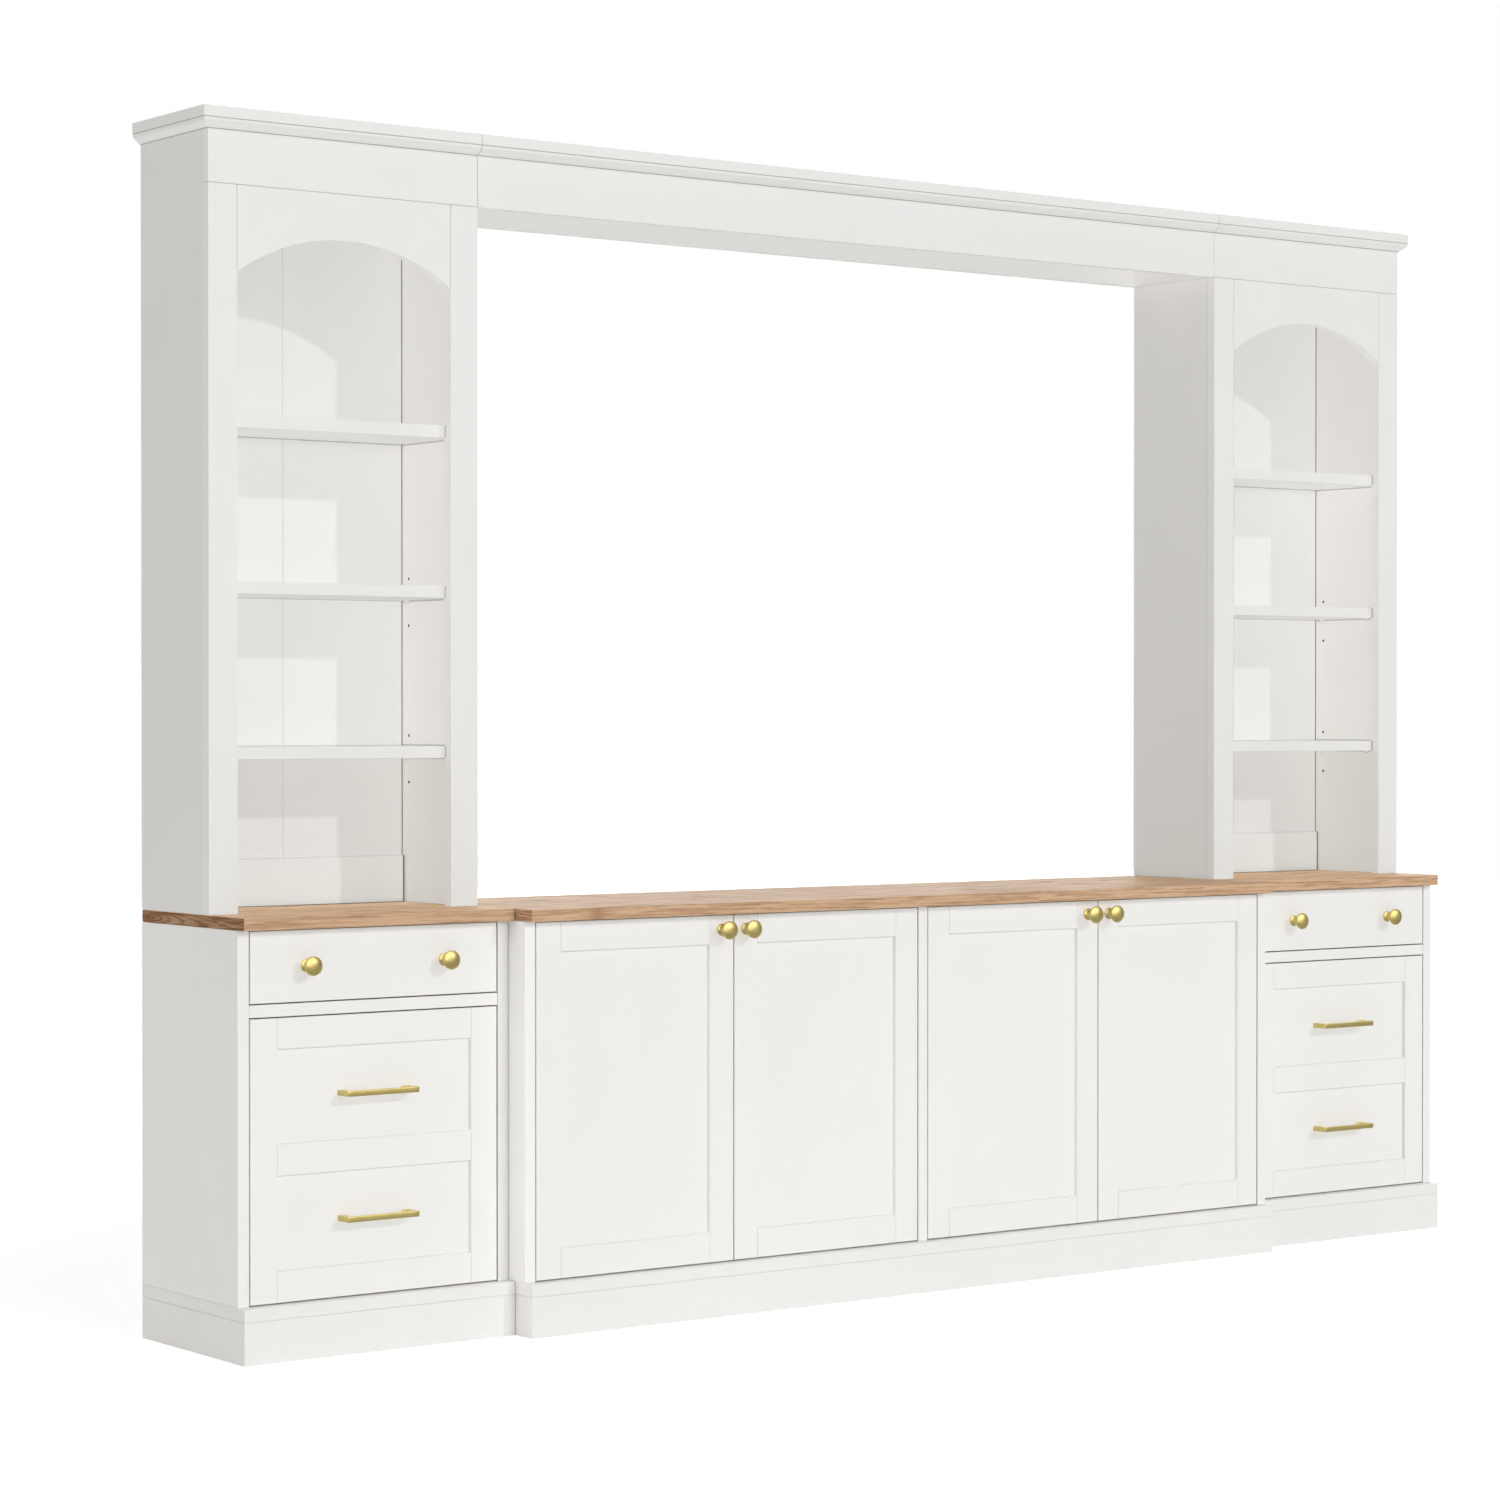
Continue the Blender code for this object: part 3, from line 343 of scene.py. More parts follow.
def satin_texture(vector, paint, shade, roughness):
    """Sprayed paint: faint clouds of tone, orange peel and a trace of handling."""
    clouds = noise(vector, 3.2, 4.0, 0.55)
    strokes = noise(vector, (34, 34, 9), 3.0, 0.6)
    peel = noise(vector, 620, 2.0, 0.5)
    dust = noise(vector, 95, 5.0, 0.7)
    tone = remap(clouds, 0.36, 0.64, 0.0, 0.8) + remap(strokes, 0.4, 0.66, 0.0, 0.15)
    return {"colour": blend(tone, paint, shade), "roughness": roughness + remap(dust, 0.42, 0.68) * 0.09,
            "height": peel + strokes * 0.25}


HEART_HEIGHT = 0.53


def oak_texture(vector, ends, ring, light, dark, knot, end, roughness):
    """Solid oak: rings round a wandering heart, streaks, pores, clouds, a few knots and darker ends."""
    x, y, z = split(vector)
    turned = wire("ShaderNodeCombineXYZ", {0: y, 1: x, 2: z + y * 0.05})
    place = wire("ShaderNodeMix", {0: ends, 4: vector, 5: turned}, 1, data_type="VECTOR")
    x, y, z = split(place)
    cells = put(tree_of([place]), "ShaderNodeTexVoronoi", feature="F1", voronoi_dimensions="2D")
    feed(stretched(place, (3.4, 12.0, 12.0)), cells.inputs["Vector"])
    feed(1.0, cells.inputs["Scale"])
    knotty = split(Value(cells.outputs["Color"]))[0] > 0.58
    from_knot = Value(cells.outputs["Distance"])
    bulge = remap(from_knot, 0.32, 0.02) * knotty * 0.014
    sway = (noise(place, (1.5, 0.8, 0.8), 2.0, 0.5) - 0.5) * 0.42
    wave = (noise(place, (6.0, 34.0, 34.0), 4.0, 0.6) - 0.5) * 0.012
    radius = hypotenuse((y + sway) * 0.62, z - HEART_HEIGHT + sway * 0.35) + (bulge + wave)
    phase = maths("FRACT", radius / ring)
    late = remap(phase, 0.25, 0.88) * remap(phase, 1.0, 0.92)
    patch = noise(place, (2.6, 11.0, 11.0), 3.0, 0.5)
    streak = noise(place, (8.0, 270.0, 270.0), 3.0, 0.60)
    fibre = noise(place, (14.0, 620.0, 620.0), 3.0, 0.6)
    dash = noise(place, (12.0, 360.0, 360.0), 2.0, 0.5)
    pore = noise(place, (60.0, 1700.0, 1700.0), 2.0, 0.5)
    cloud = noise(place, (1.7, 6.0, 6.0), 2.0, 0.5)
    pores = remap(pore, 0.56, 0.66) * remap(late, 0.0, 1.0, 0.4, 0.9)
    tone = late * remap(patch, 0.3, 0.7, 0.25, 1.0) * 0.42 + remap(streak, 0.44, 0.58, -0.36, 0.88)
    tone = maths("ADD", tone, remap(fibre, 0.38, 0.64, -0.18, 0.32), clamp=True)
    colour = blend(tone, light, dark)
    for mask, stain in (
            (remap(dash, 0.60, 0.66) * 0.72, knot),
            (remap(cloud, 0.38, 0.7) * 0.22, dark),
            (pores * 0.36, knot),
            (remap(from_knot, 0.17, 0.06) * knotty * 0.55, dark),
            (remap(from_knot, 0.085, 0.03) * knotty * 0.8, knot),
            (ends * remap(streak, 0.30, 0.66, 0.46, 0.92), end),
            (end_arcs(vector) * ends * 0.62, knot)):
        colour = blend(mask, colour, stain)
    return {"colour": colour, "roughness": roughness + tone * 0.12,
            "height": fibre * 0.4 - (pores + late * 0.25)}


END_EYE = 0.020
EYE_SIZES = (0.0019, 0.0008)
ARC_PITCH = 0.0026
ARC_TILT = 0.035
ARC_SPREAD = 0.02
ARC_WOBBLE = 0.0022


def end_arcs(place):
    """Mask of the arcs on a worktop's end, which fan out forward from an eye near the rear corner."""
    low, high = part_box("left_pier_worktop")
    y, z = split(place)[1:]
    ahead = high.y - END_EYE - y
    rise = z - ((low.z + high.z) / 2 - ahead * ARC_TILT)
    reach = maths("LOGARITHM", abs(ahead) / ARC_SPREAD + 1.0, math.e) * (ARC_SPREAD / 3)
    wobble = (noise(place, (60.0, 60.0, 160.0), 3.0, 0.5) - 0.5) * ARC_WOBBLE
    distance = hypotenuse(reach, rise) + wobble
    phase = maths("FRACT", distance / ARC_PITCH)
    return remap(phase, 0.40, 0.80) * remap(phase, 1.0, 0.88) | remap(distance, *EYE_SIZES)


STAIN = (0.05, 0.035, 0.015)


def metal_texture(vector, metal, roughness, tarnish):
    """Satin metal: fine brushing, handling marks and slight tarnish."""
    brush = noise(vector, (260, 260, 4200), 3.0, 0.6)
    marks = noise(vector, 210, 4.0, 0.6)
    cloud = noise(vector, 55, 3.0, 0.5)
    stained = blend(0.55, metal, rgba(STAIN))
    return {"colour": blend(remap(cloud, 0.42, 0.72) * tarnish, metal, stained),
            "roughness": roughness + remap(marks, 0.4, 0.7) * 0.10 + (brush - 0.5) * 0.06, "height": brush}


def fibre_texture(vector, board, fibre):
    """The raw rear of a thin back board: matted fibres and press marks."""
    fluff = noise(vector, 340, 5.0, 0.72)
    clump = noise(vector, 24, 4.0, 0.6)
    tone = remap(fluff, 0.34, 0.7, 0.0, 0.7) + remap(clump, 0.35, 0.7, 0.0, 0.3)
    return {"colour": blend(tone, board, fibre), "height": fluff}


# Materials; a relief is the strength and distance of a bump

PAINT_RELIEF = (0.07, 0.00010)
SHEET_RELIEF = (0.12, 0.00014)
OAK_RELIEF = (0.20, 0.00022)
METAL_RELIEF = (0.06, 0.00005)
STEEL_TARNISH = 0.12
BRASS_TARNISH = 0.22
LACQUER = 0.8
LACQUER_ROUGHNESS = 0.30
OIL_SHINE = 0.02
EDGE_SHADE = 0.38
# Colour of the painted shade round the towers' feet.
OAK_FOOT_SHADE = (0.06, 0.038, 0.022)
SHEET = 0.003
SHEET_SKIN = 0.0006
SHEET_SLACK = 0.0005
RAW_ROUGHNESS = 0.38
RAW_RELIEF = 3.0
REAR_FACING = 0.5
FLAT = 0.8


def start_material(name):
    """A fresh material: itself, its Principled BSDF's inputs and the object coordinates."""
    material = bpy.data.materials.new(name)
    material.use_nodes = True
    tree = material.node_tree
    place = Value(put(tree, "ShaderNodeTexCoord").outputs["Object"])
    return material, tree.nodes["Principled BSDF"].inputs, place


def coat(shader, colour, roughness, height, relief):
    """Feeds a shader its colour, its roughness and its fine relief."""
    feed(colour, shader["Base Color"])
    feed(roughness, shader["Roughness"])
    bump = {"Strength": relief[0], "Distance": relief[1], "Height": height}
    feed(wire("ShaderNodeBump", bump, "Normal"), shader["Normal"])


def satin_paint(place, share):
    """The paint's texture, at a share of its brightness."""
    paint = bpy.context.scene.wall_unit_paint
    tones = [rgba([part * share for part in tone]) for tone in (paint.colour, paint.shade)]
    return texture("satin paint", satin_texture, vector=place, paint=tones[0], shade=tones[1],
                   roughness=paint.roughness)


def metal_skin(place, colour, roughness, tarnish):
    """The texture of a metal."""
    return texture("satin metal", metal_texture, vector=place, metal=rgba(colour), roughness=roughness,
                   tarnish=tarnish)


def painted(name, steel_where=None, joints=None, share=1.0):
    """White satin paint; steel_where masks what is plated steel instead, and joints masks dark hairlines of
    painted shade in gaps, grooves, corners and holes.
    """
    material, shader, place = start_material(name)
    paint = satin_paint(place, share)
    colour, rough = paint["colour"], paint["roughness"]
    # Painted shade along joints, gaps, grooves, corners and holes.
    if joints:
        colour = blend(joints(place), colour, rgba(bpy.context.scene.wall_unit_paint.joint))
    if steel_where:
        metal = bpy.context.scene.wall_unit_metal
        mask = steel_where(place)
        plate = metal_skin(place, metal.steel, metal.steel_roughness, STEEL_TARNISH)
        colour = blend(mask, colour, plate["colour"])
        rough = rough * (1.0 - mask) + plate["roughness"] * mask
        feed(mask, shader["Metallic"])
    coat(shader, colour, rough, paint["height"], PAINT_RELIEF)
    return material


def sheeted(name, joints=None, share=1.0, sheet_share=1.0):
    """Back sheet with what is fixed to it: white in front, darkened to a share as painted shade and with
    painted shade lines from joints, and raw fibre board on the rear face.
    """
    settings = bpy.context.scene.wall_unit_paint
    rear_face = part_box("console_back")[1].y
    material, shader, place = start_material(name)
    paint = satin_paint(place, share)
    raw = texture("raw board", fibre_texture, vector=place, board=rgba(settings.raw_board),
                  fibre=rgba(settings.raw_fibre))
    y = split(place)[1]
    rear = (face_normal(place)[1] > REAR_FACING) * (abs(y - rear_face) < SHEET_SKIN)
    on_sheet = within(y, rear_face - SHEET - SHEET_SLACK, rear_face)
    # Painted shade: the sheet's front darkened to its share.
    front = lighten(paint["colour"], on_sheet * (sheet_share - 1.0) + 1.0)
    # Painted shade lines at the sheet's corners and seams.
    if joints:
        front = blend(joints(place), front, rgba(settings.joint))
    coat(shader, blend(rear, front, raw["colour"]), paint["roughness"] + rear * RAW_ROUGHNESS,
         paint["height"] + raw["height"] * rear * RAW_RELIEF, SHEET_RELIEF)
    return material


def oiled_oak(name, top_light_share, end_light_share, joints):
    """The worktops' oak; the shares paint light and shade on its top and ends, and joints masks painted shade
    at the towers' feet.
    """
    oak = bpy.context.scene.wall_unit_oak
    material, shader, place = start_material(name)
    sideways, forward, upward = face_normal(place)
    end = abs(sideways) > FLAT
    wood = texture("oak grain", oak_texture, vector=place, ends=end, ring=oak.ring, light=rgba(oak.light),
                   dark=rgba(oak.dark), knot=rgba(oak.knot), end=rgba(oak.end), roughness=oak.roughness)
    colour = blend((forward < -FLAT) * EDGE_SHADE, wood["colour"], rgba(oak.dark))
    # Painted light and shade: tops and ends brightened or darkened to their shares.
    painted_light = (upward > FLAT) * (top_light_share - 1.0) + end * (end_light_share - 1.0)
    colour = blend(ray(place, "Diffuse"), lighten(colour, painted_light + 1.0), rgba(oak.bounce))
    # Painted shade round the towers' feet.
    colour = blend(joints(place), colour, rgba(OAK_FOOT_SHADE))
    feed(OIL_SHINE, shader["Specular IOR Level"])
    coat(shader, colour, wood["roughness"], wood["height"], OAK_RELIEF)
    return material


def satin_metal(name, colour, roughness, tarnish, lacquer):
    """A solid satin metal, clear lacquered or bare, made once."""
    if name in bpy.data.materials:
        return bpy.data.materials[name]
    material, shader, place = start_material(name)
    skin = metal_skin(place, colour, roughness, tarnish)
    feed(1.0, shader["Metallic"])
    feed(lacquer, shader["Coat Weight"])
    feed(LACQUER_ROUGHNESS, shader["Coat Roughness"])
    coat(shader, skin["colour"], skin["roughness"], skin["height"], METAL_RELIEF)
    return material


def brass():
    """Satin brass."""
    metal = bpy.context.scene.wall_unit_metal
    return satin_metal("satin brass", metal.brass, metal.brass_roughness, BRASS_TARNISH, LACQUER)


def steel():
    """Plated steel."""
    metal = bpy.context.scene.wall_unit_metal
    return satin_metal("plated steel", metal.steel, metal.steel_roughness, STEEL_TARNISH, 0.0)


def dress(name, material):
    """Gives a CAD node its material."""
    item = frame["nodes"][name]
    if not item.material_slots:
        item.data.materials.append(material)
    for slot in item.material_slots:
        slot.material = material


def nodes_of(slot_name):
    """CAD nodes that take their finish from a slot of the record."""
    names = [row["node"] for row in frame["record"]["subparts"] if row["material_slot"] == slot_name]
    if not names:
        raise RuntimeError("no node takes " + slot_name)
    return names


def body_of_node(name):
    """The body that a CAD node rides on."""
    for body, members in frame["record"]["behaviour"]["bodies"].items():
        if name in members:
            return body
    raise RuntimeError("no body holds " + name)


def tower_box(side, part):
    """The low and high corners of one part of a tower."""
    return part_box(side + "_pier_tower_" + part)


def middle_of(name):
    """The middle of a CAD node's box."""
    low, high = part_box(name)
    return (low + high) / 2


# Modelling

TOUCH = 0.00001


def pick_nothing():
    """Deselects every object."""
    bpy.ops.object.select_all(action="DESELECT")


def take(item):
    """Makes one object the only selected and active one."""
    pick_nothing()
    item.select_set(True)
    bpy.context.view_layer.objects.active = item


def fuse(whole, *others):
    """Joins pieces to the first of them."""
    take(whole)
    for item in others:
        item.select_set(True)
    if others:
        bpy.ops.object.join()


def named(name):
    """Names the object that was just added and writes its place into its mesh."""
    item = bpy.context.object
    item.name = name
    item.data.name = name
    take(item)
    bpy.ops.object.transform_apply(location=True, rotation=True, scale=True)
    return item


def add_block(name, low, high):
    """A cube primitive at its size and place, to be shaped further."""
    pick_nothing()
    middle = [(a + b) / 2 for a, b in zip(low, high)]
    bpy.ops.mesh.primitive_cube_add(size=1, location=middle, scale=[b - a for a, b in zip(low, high)])
    return named(name)


def add_round(name, radius, depth, middle, corners):
    """A cylinder primitive along Y, to be shaped further."""
    pick_nothing()
    bpy.ops.mesh.primitive_cylinder_add(vertices=corners, radius=radius, depth=depth, location=middle,
                                        rotation=(math.pi / 2, 0, 0))
    return named(name)


def edit(item):
    """Opens edit mode on one piece with nothing selected."""
    take(item)
    bpy.ops.object.mode_set(mode="EDIT")
    bpy.ops.mesh.select_mode(type="FACE")
    bpy.ops.mesh.select_all(action="DESELECT")


def close_edit():
    """Leaves edit mode."""
    bpy.ops.object.mode_set(mode="OBJECT")


def pick(item, kind, wanted):
    """In edit mode, selects only the faces or edges that pass a test."""
    bpy.ops.mesh.select_mode(type=kind)
    bpy.ops.mesh.select_all(action="DESELECT")
    shape = bmesh.from_edit_mesh(item.data)
    parts = [part for part in (shape.faces if kind == "FACE" else shape.edges) if wanted(part)]
    if not parts:
        raise RuntimeError("nothing on " + item.name + " passes the test")
    for part in parts:
        part.select_set(True)
    bmesh.update_edit_mesh(item.data)


def pull_out(value):
    """Extrudes the picked faces by a vector."""
    bpy.ops.mesh.extrude_region_move(TRANSFORM_OT_translate={"value": value})


def raise_face(item, wanted, margin, rise):
    """Insets the faces that pass a test and moves the inner face out or in."""
    edit(item)
    pick(item, "FACE", wanted)
    bpy.ops.mesh.inset(thickness=margin)
    pull_out(rise)
    close_edit()


def apply_modifier(item, kind, **options):
    """Adds a modifier with its options and applies it."""
    take(item)
    modifier = item.modifiers.new("step", kind)
    for key, option in options.items():
        setattr(modifier, key, option)
    bpy.ops.object.modifier_apply(modifier=modifier.name)


def round_edges(item, width, segments, degrees):
    """Bevels the edges that are sharper than an angle."""
    apply_modifier(item, "BEVEL", width=width, segments=segments, limit_method="ANGLE",
                   angle_limit=math.radians(degrees))


def ease_corners(item, axis, width):
    """Rounds the edges of a block that run along one axis."""
    others = [i for i in range(3) if i != axis]

    def along_axis(edge):
        start, end = (vert.co for vert in edge.verts)
        return all(abs(start[i] - end[i]) < TOUCH for i in others)

    edit(item)
    pick(item, "EDGE", along_axis)
    bpy.ops.mesh.bevel(offset=width, segments=5, affect="EDGES")
    close_edit()


def cut(item, tool):
    """Cuts a helper out of a piece and removes the helper."""
    apply_modifier(item, "BOOLEAN", operation="DIFFERENCE", solver="EXACT", object=tool)
    bpy.data.objects.remove(tool, do_unlink=True)


def fix_normals(item):
    """Merges doubles and turns all faces outwards."""
    edit(item)
    bpy.ops.mesh.select_all(action="SELECT")
    bpy.ops.mesh.remove_doubles(threshold=TOUCH)
    bpy.ops.mesh.normals_make_consistent(inside=False)
    close_edit()


def smooth(item, degrees):
    """Shades smooth what is flatter than an angle."""
    take(item)
    bpy.ops.object.shade_smooth_by_angle(angle=math.radians(degrees))
    return item


def finish_shape(item, degrees):
    """Makes a shape sound and shades it smooth."""
    fix_normals(item)
    return smooth(item, degrees)


def turn(name, rings, tip, corners):
    """Turns a piece along -Y from the origin: extrudes and resizes a ring by ring, and closes both ends."""
    pick_nothing()
    bpy.ops.mesh.primitive_circle_add(vertices=corners, radius=rings[0][0], fill_type="NGON",
                                      location=(0, -rings[0][1], 0), rotation=(math.pi / 2, 0, 0))
    item = named(name)
    edit(item)
    bpy.ops.mesh.select_all(action="SELECT")
    for (old_radius, old_reach), (radius, reach) in zip(rings, rings[1:]):
        pull_out((0, old_reach - reach, 0))
        grow = radius / old_radius
        bpy.ops.transform.resize(value=(grow, 1, grow), center_override=(0, -reach, 0))
    pull_out((0, rings[-1][1] - tip, 0))
    bpy.ops.mesh.merge(type="CENTER")
    bpy.ops.mesh.select_mode(type="EDGE")
    bpy.ops.mesh.select_all(action="DESELECT")
    bpy.ops.mesh.select_non_manifold()
    bpy.ops.mesh.edge_face_add()
    close_edit()
    return finish_shape(item, 50)


def shift(*place):
    """A move to a place."""
    return Matrix.Translation(Vector(place))


def spin(degrees):
    """A turn round the upright axis."""
    return Matrix.Rotation(math.radians(degrees), 4, "Z")


def repeat(item, name, changes, body, material):
    """Copies a piece's mesh to each place, joins the copies to one object and puts it on its body."""
    twins = []
    for change in changes:
        twin = item.copy()
        twin.data = item.data.copy()
        bpy.context.scene.collection.objects.link(twin)
        twin.data.transform(change)
        if change.determinant() < 0:
            twin.data.flip_normals()
        twins.append(twin)
    fuse(*twins)
    whole = twins[0]
    whole.name = name
    whole.data.name = name
    whole.data.materials.clear()
    whole.data.materials.append(material)
    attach(whole, body)
    return whole


def discard(*models):
    """Removes the models that the pieces were copied from."""
    for model in models:
        bpy.data.objects.remove(model, do_unlink=True)


# Masks of the joint lines, which paint shade in gaps, grooves, corners and holes; each line has half its
# width and its depth

HAIRLINE = 0.00013
LINES = {
    "panel": (HAIRLINE, 0.62),
    "deep panel": (1.3 * HAIRLINE, 0.62),
    "stile seam": (0.0003, 0.80),
    "frieze seam": (0.0003, 0.66),
    "frame joint": (0.0004, 0.35),
    "shelf end": (0.0028, 0.42),
    "shelf rim": (0.0008, 0.50),
    "bridge end": (0.0003, 0.42),
    "cap": (0.0004, 0.50),
    "moulding": (0.0005, 0.62),
    "back corner": (0.0008, 0.95),
    "rail corner": (0.0020, 0.95),
    "back shelf": (0.0006, 0.52),
    "back seam": (0.0004, 0.46),
    "back rail": (0.0006, 0.20),
    "stile foot": (0.0008, 0.90),
    "stile edge": (0.0007, 0.90),
    "rail foot": (0.0045, 0.90),
    "side foot": (0.0008, 0.90),
}
SIDE_JOINT = 0.0004
SIDE_FOOT = 0.0022
SIDE_FOOT_DEPTH = 0.85
# Painted shade: how much darker a tower's inside is below its lowest shelf.
FOOT_SHADE = 0.02
BOARD = 0.018
STILE = 0.047
MEMBER = 0.0445
RECESS = 0.006
SLOPE = 0.001
RAIL_HEIGHT = 0.0717
RAIL_FACE = 0.0065
FRIEZE_SEAM = 1.691
STILE_SEAM_FOOT = 1.568
CAP_FROM_FOOT = 0.015
MOULDING_FOOT = 0.0003
RIM_GAP = 0.0007
SKIN = 0.0002
THIN_SKIN = 0.0004
FACE_SKIN = 0.0005
TOP_SKIN = 0.0003
RECESS_SKIN = 0.0007
BORE_MARGIN = 0.003
BACK_REACH = 0.008


def drawn(value, level, line):
    """A named line at a level."""
    half, depth = LINES[line]
    return near(value, level, half) * depth


def shelf_heights():
    """Foot and top of a tower's three shelves, which stand at one pitch."""
    lower, middle = [tower_box("left", label + "_shelf") for label in ("lower", "middle")]
    pitch = middle[0].z - lower[0].z
    return [(lower[0].z + step * pitch, lower[1].z + step * pitch) for step in range(3)]


def side_lines(name, depth, shows_inside):
    """Mask of painted shade in a tower side's joint with the face frame and in its rear pin holes; where its
    inner face shows, also of painted shade along the shelves and at the darker foot."""
    low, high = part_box(name)

    def mask(place):
        x, y, z = split(place)
        bored = (within(x, low.x + SKIN, high.x - SKIN)
                 * within(y, (low.y + high.y) / 2, high.y - BORE_MARGIN)
                 * within(z, low.z + BORE_MARGIN, high.z - BORE_MARGIN))
        lines = bored | near(y, low.y, SIDE_JOINT) * depth
        if not shows_inside:
            return lines
        levels = [level for foot, top in shelf_heights() for level in (foot - RIM_GAP, top + RIM_GAP)]
        rims = [drawn(z, level, "shelf rim") for level in levels]
        beside = (x < low.x + FACE_SKIN) * (y > tower_box("left", "lower_shelf")[0].y)
        return lines | strongest(rims) * beside | (z < shelf_heights()[0][0]) * FOOT_SHADE
    return mask


def frame_lines(side):
    """Mask of painted shade in the seams between frieze, valance and stiles, in the joint behind the face
    frame and where the shelves' ends meet it."""
    low, high = tower_box(side, "face_frame")
    opening = (high.x - low.x) / 2 - STILE

    def mask(place):
        x, y, z = split(place)
        across = abs(x - (low.x + high.x) / 2)
        by_shelf = strongest([within(z, foot, top) for foot, top in shelf_heights()])
        return (drawn(across, opening, "stile seam") * within(z, STILE_SEAM_FOOT, FRIEZE_SEAM)
                | drawn(z, FRIEZE_SEAM, "frieze seam")
                | drawn(y, high.y, "frame joint") * (z > FRIEZE_SEAM)
                | drawn(y, high.y, "shelf end") * by_shelf * (across < opening + FACE_SKIN))
    return mask


def crown_lines(name, edge=None):
    """Mask of painted shade under the cap and under the moulding, and at the ends where edge is given."""
    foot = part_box(name)[0].z

    def mask(place):
        z = split(place)[2]
        lines = drawn(z, foot + CAP_FROM_FOOT, "cap") | drawn(z, foot + MOULDING_FOOT, "moulding")
        return (lines | end_lines(edge)(place)) if edge else lines
    return mask


def end_lines(edge):
    """Mask of painted shade in the joint at both ends of the bridge."""
    return lambda place: drawn(abs(split(place)[0]), edge, "bridge end")


def framed(name, count, deep_left):
    """Mask of painted shade round the sunk panels of a front; deep_left strengthens the one on the left."""
    low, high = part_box(name)
    panel = (high.z - low.z - (count + 1) * MEMBER) / count

    def mask(place):
        x, y, z = split(place)
        rims = [drawn(x, edge, "panel") for edge in (low.x + MEMBER, high.x - MEMBER)]
        if deep_left:
            rims.append(drawn(x, low.x + MEMBER - HAIRLINE, "deep panel"))
        feet = [drawn(x, edge, "panel") for edge in (low.x + MEMBER + SLOPE, high.x - MEMBER - SLOPE)]
        for i in range(count):
            start = low.z + MEMBER + i * (panel + MEMBER)
            feet += [drawn(z, edge, "panel") for edge in (start + SLOPE, start + panel - SLOPE)]
        sunk = low.y + RECESS
        return (strongest(rims) * (y < low.y + THIN_SKIN)
                | strongest(feet) * within(y, sunk - RECESS_SKIN, sunk + RECESS_SKIN))
    return mask


def beyond(name, inward):
    """Mask of what stands proud of a panel's inner face."""
    low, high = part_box(name)

    def mask(place):
        x = split(place)[0]
        return (x > low.x + BOARD + SKIN) if inward > 0 else (x < high.x - BOARD - SKIN)
    return mask


def outside(middle, half):
    """Mask of what stands proud of both faces of a board."""
    return lambda place: abs(split(place)[0] - middle) > half + SKIN


def corner_lines(side):
    """Mask of painted shade where shelves, sides, foot rail and worktop meet a tower's back sheet, in its
    middle seam, and below the lowest shelf.
    """
    low, high = tower_box(side, "back")
    sides = [tower_box(side, label + "_side") for label in ("outer", "inner")]
    faces = (min(ends[1].x for ends in sides), max(ends[0].x for ends in sides))
    rail_top = low.z + RAIL_HEIGHT
    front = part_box("console_back")[0].y

    def mask(place):
        x, y, z = split(place)
        lines = [drawn(x, face, "back corner") for face in faces]
        lines += [drawn(x, face, "rail corner") * (z < rail_top) for face in faces]
        lines += [drawn(z, level, "back shelf") for level in (low.z, *sum(shelf_heights(), ()))]
        lines += [drawn(x, (low.x + high.x) / 2, "back seam") * (z > rail_top),
                  drawn(z, rail_top, "back rail"), (z < shelf_heights()[0][0]) * FOOT_SHADE]
        return strongest(lines) * within(y, front - BACK_REACH, front + FACE_SKIN)
    return mask


def foot_lines(side):
    """Mask of painted shade round the foot of a tower."""
    low, high = tower_box(side, "face_frame")
    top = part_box(side + "_pier_worktop")[1].z
    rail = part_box("console_back")[0].y - RAIL_FACE
    half = (high.x - low.x) / 2

    def mask(place):
        x, y, z = split(place)
        across = abs(x - (low.x + high.x) / 2)
        lines = (drawn(y, low.y, "stile foot") * (across > half - STILE)
                 | drawn(y, rail, "rail foot") * (across < half - BOARD)
                 | drawn(across, half - BOARD, "side foot") * within(y, high.y, rail)
                 | drawn(across, half - STILE, "stile edge") * within(y, low.y, high.y))
        return lines * (z > top - TOP_SKIN)
    return mask


def side_feet(place):
    """Mask of painted shade where the console's top meets the towers' sides."""
    x, y, z = split(place)
    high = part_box("console_worktop")[1]
    beside = (abs(x) > high.x - SIDE_FOOT) * (y > tower_box("left", "face_frame")[0].y)
    return beside * (z > high.z - TOP_SKIN) * SIDE_FOOT_DEPTH


# Paint and wood; a share is the brightness of the paint or oak against its settings, and the shares of the
# sides, plinths, worktops and pins paint light and shade

# Share of the paint, which paints the light and shade that the side gets, depth of its painted shade line at
# the face frame, and whether the inner face shows
TOWER_SIDES = {
    "left_pier_tower_outer_side": (0.915, 0.05, False),
    "left_pier_tower_inner_side": (0.955, 0.35, True),
    "right_pier_tower_inner_side": (0.935, 0.35, False),
    "right_pier_tower_outer_side": (0.955, 0.35, True),
}
# Painted shade on the plinths.
PLINTH_SHADE_SHARE = 0.955
# Direction from the outer face to the inner one, and share of the paint, which paints light on the console's
# left side
CONSOLE_SIDES = {"console_left_side": (1, 1.06), "console_right_side": (-1, 1.0)}
# Shares of a worktop's top and of its ends, which paint light and shade on them
CONSOLE_OAK_LIGHT_SHARES = (0.95, 1.14)
PIER_OAK_LIGHT_SHARES = (1.22, 0.86)
SLIDE_REACH = 0.010


def is_upper(name):
    """Whether a node stands on the worktops."""
    return "tower" in name or "crown" in name or name.startswith("bridge")


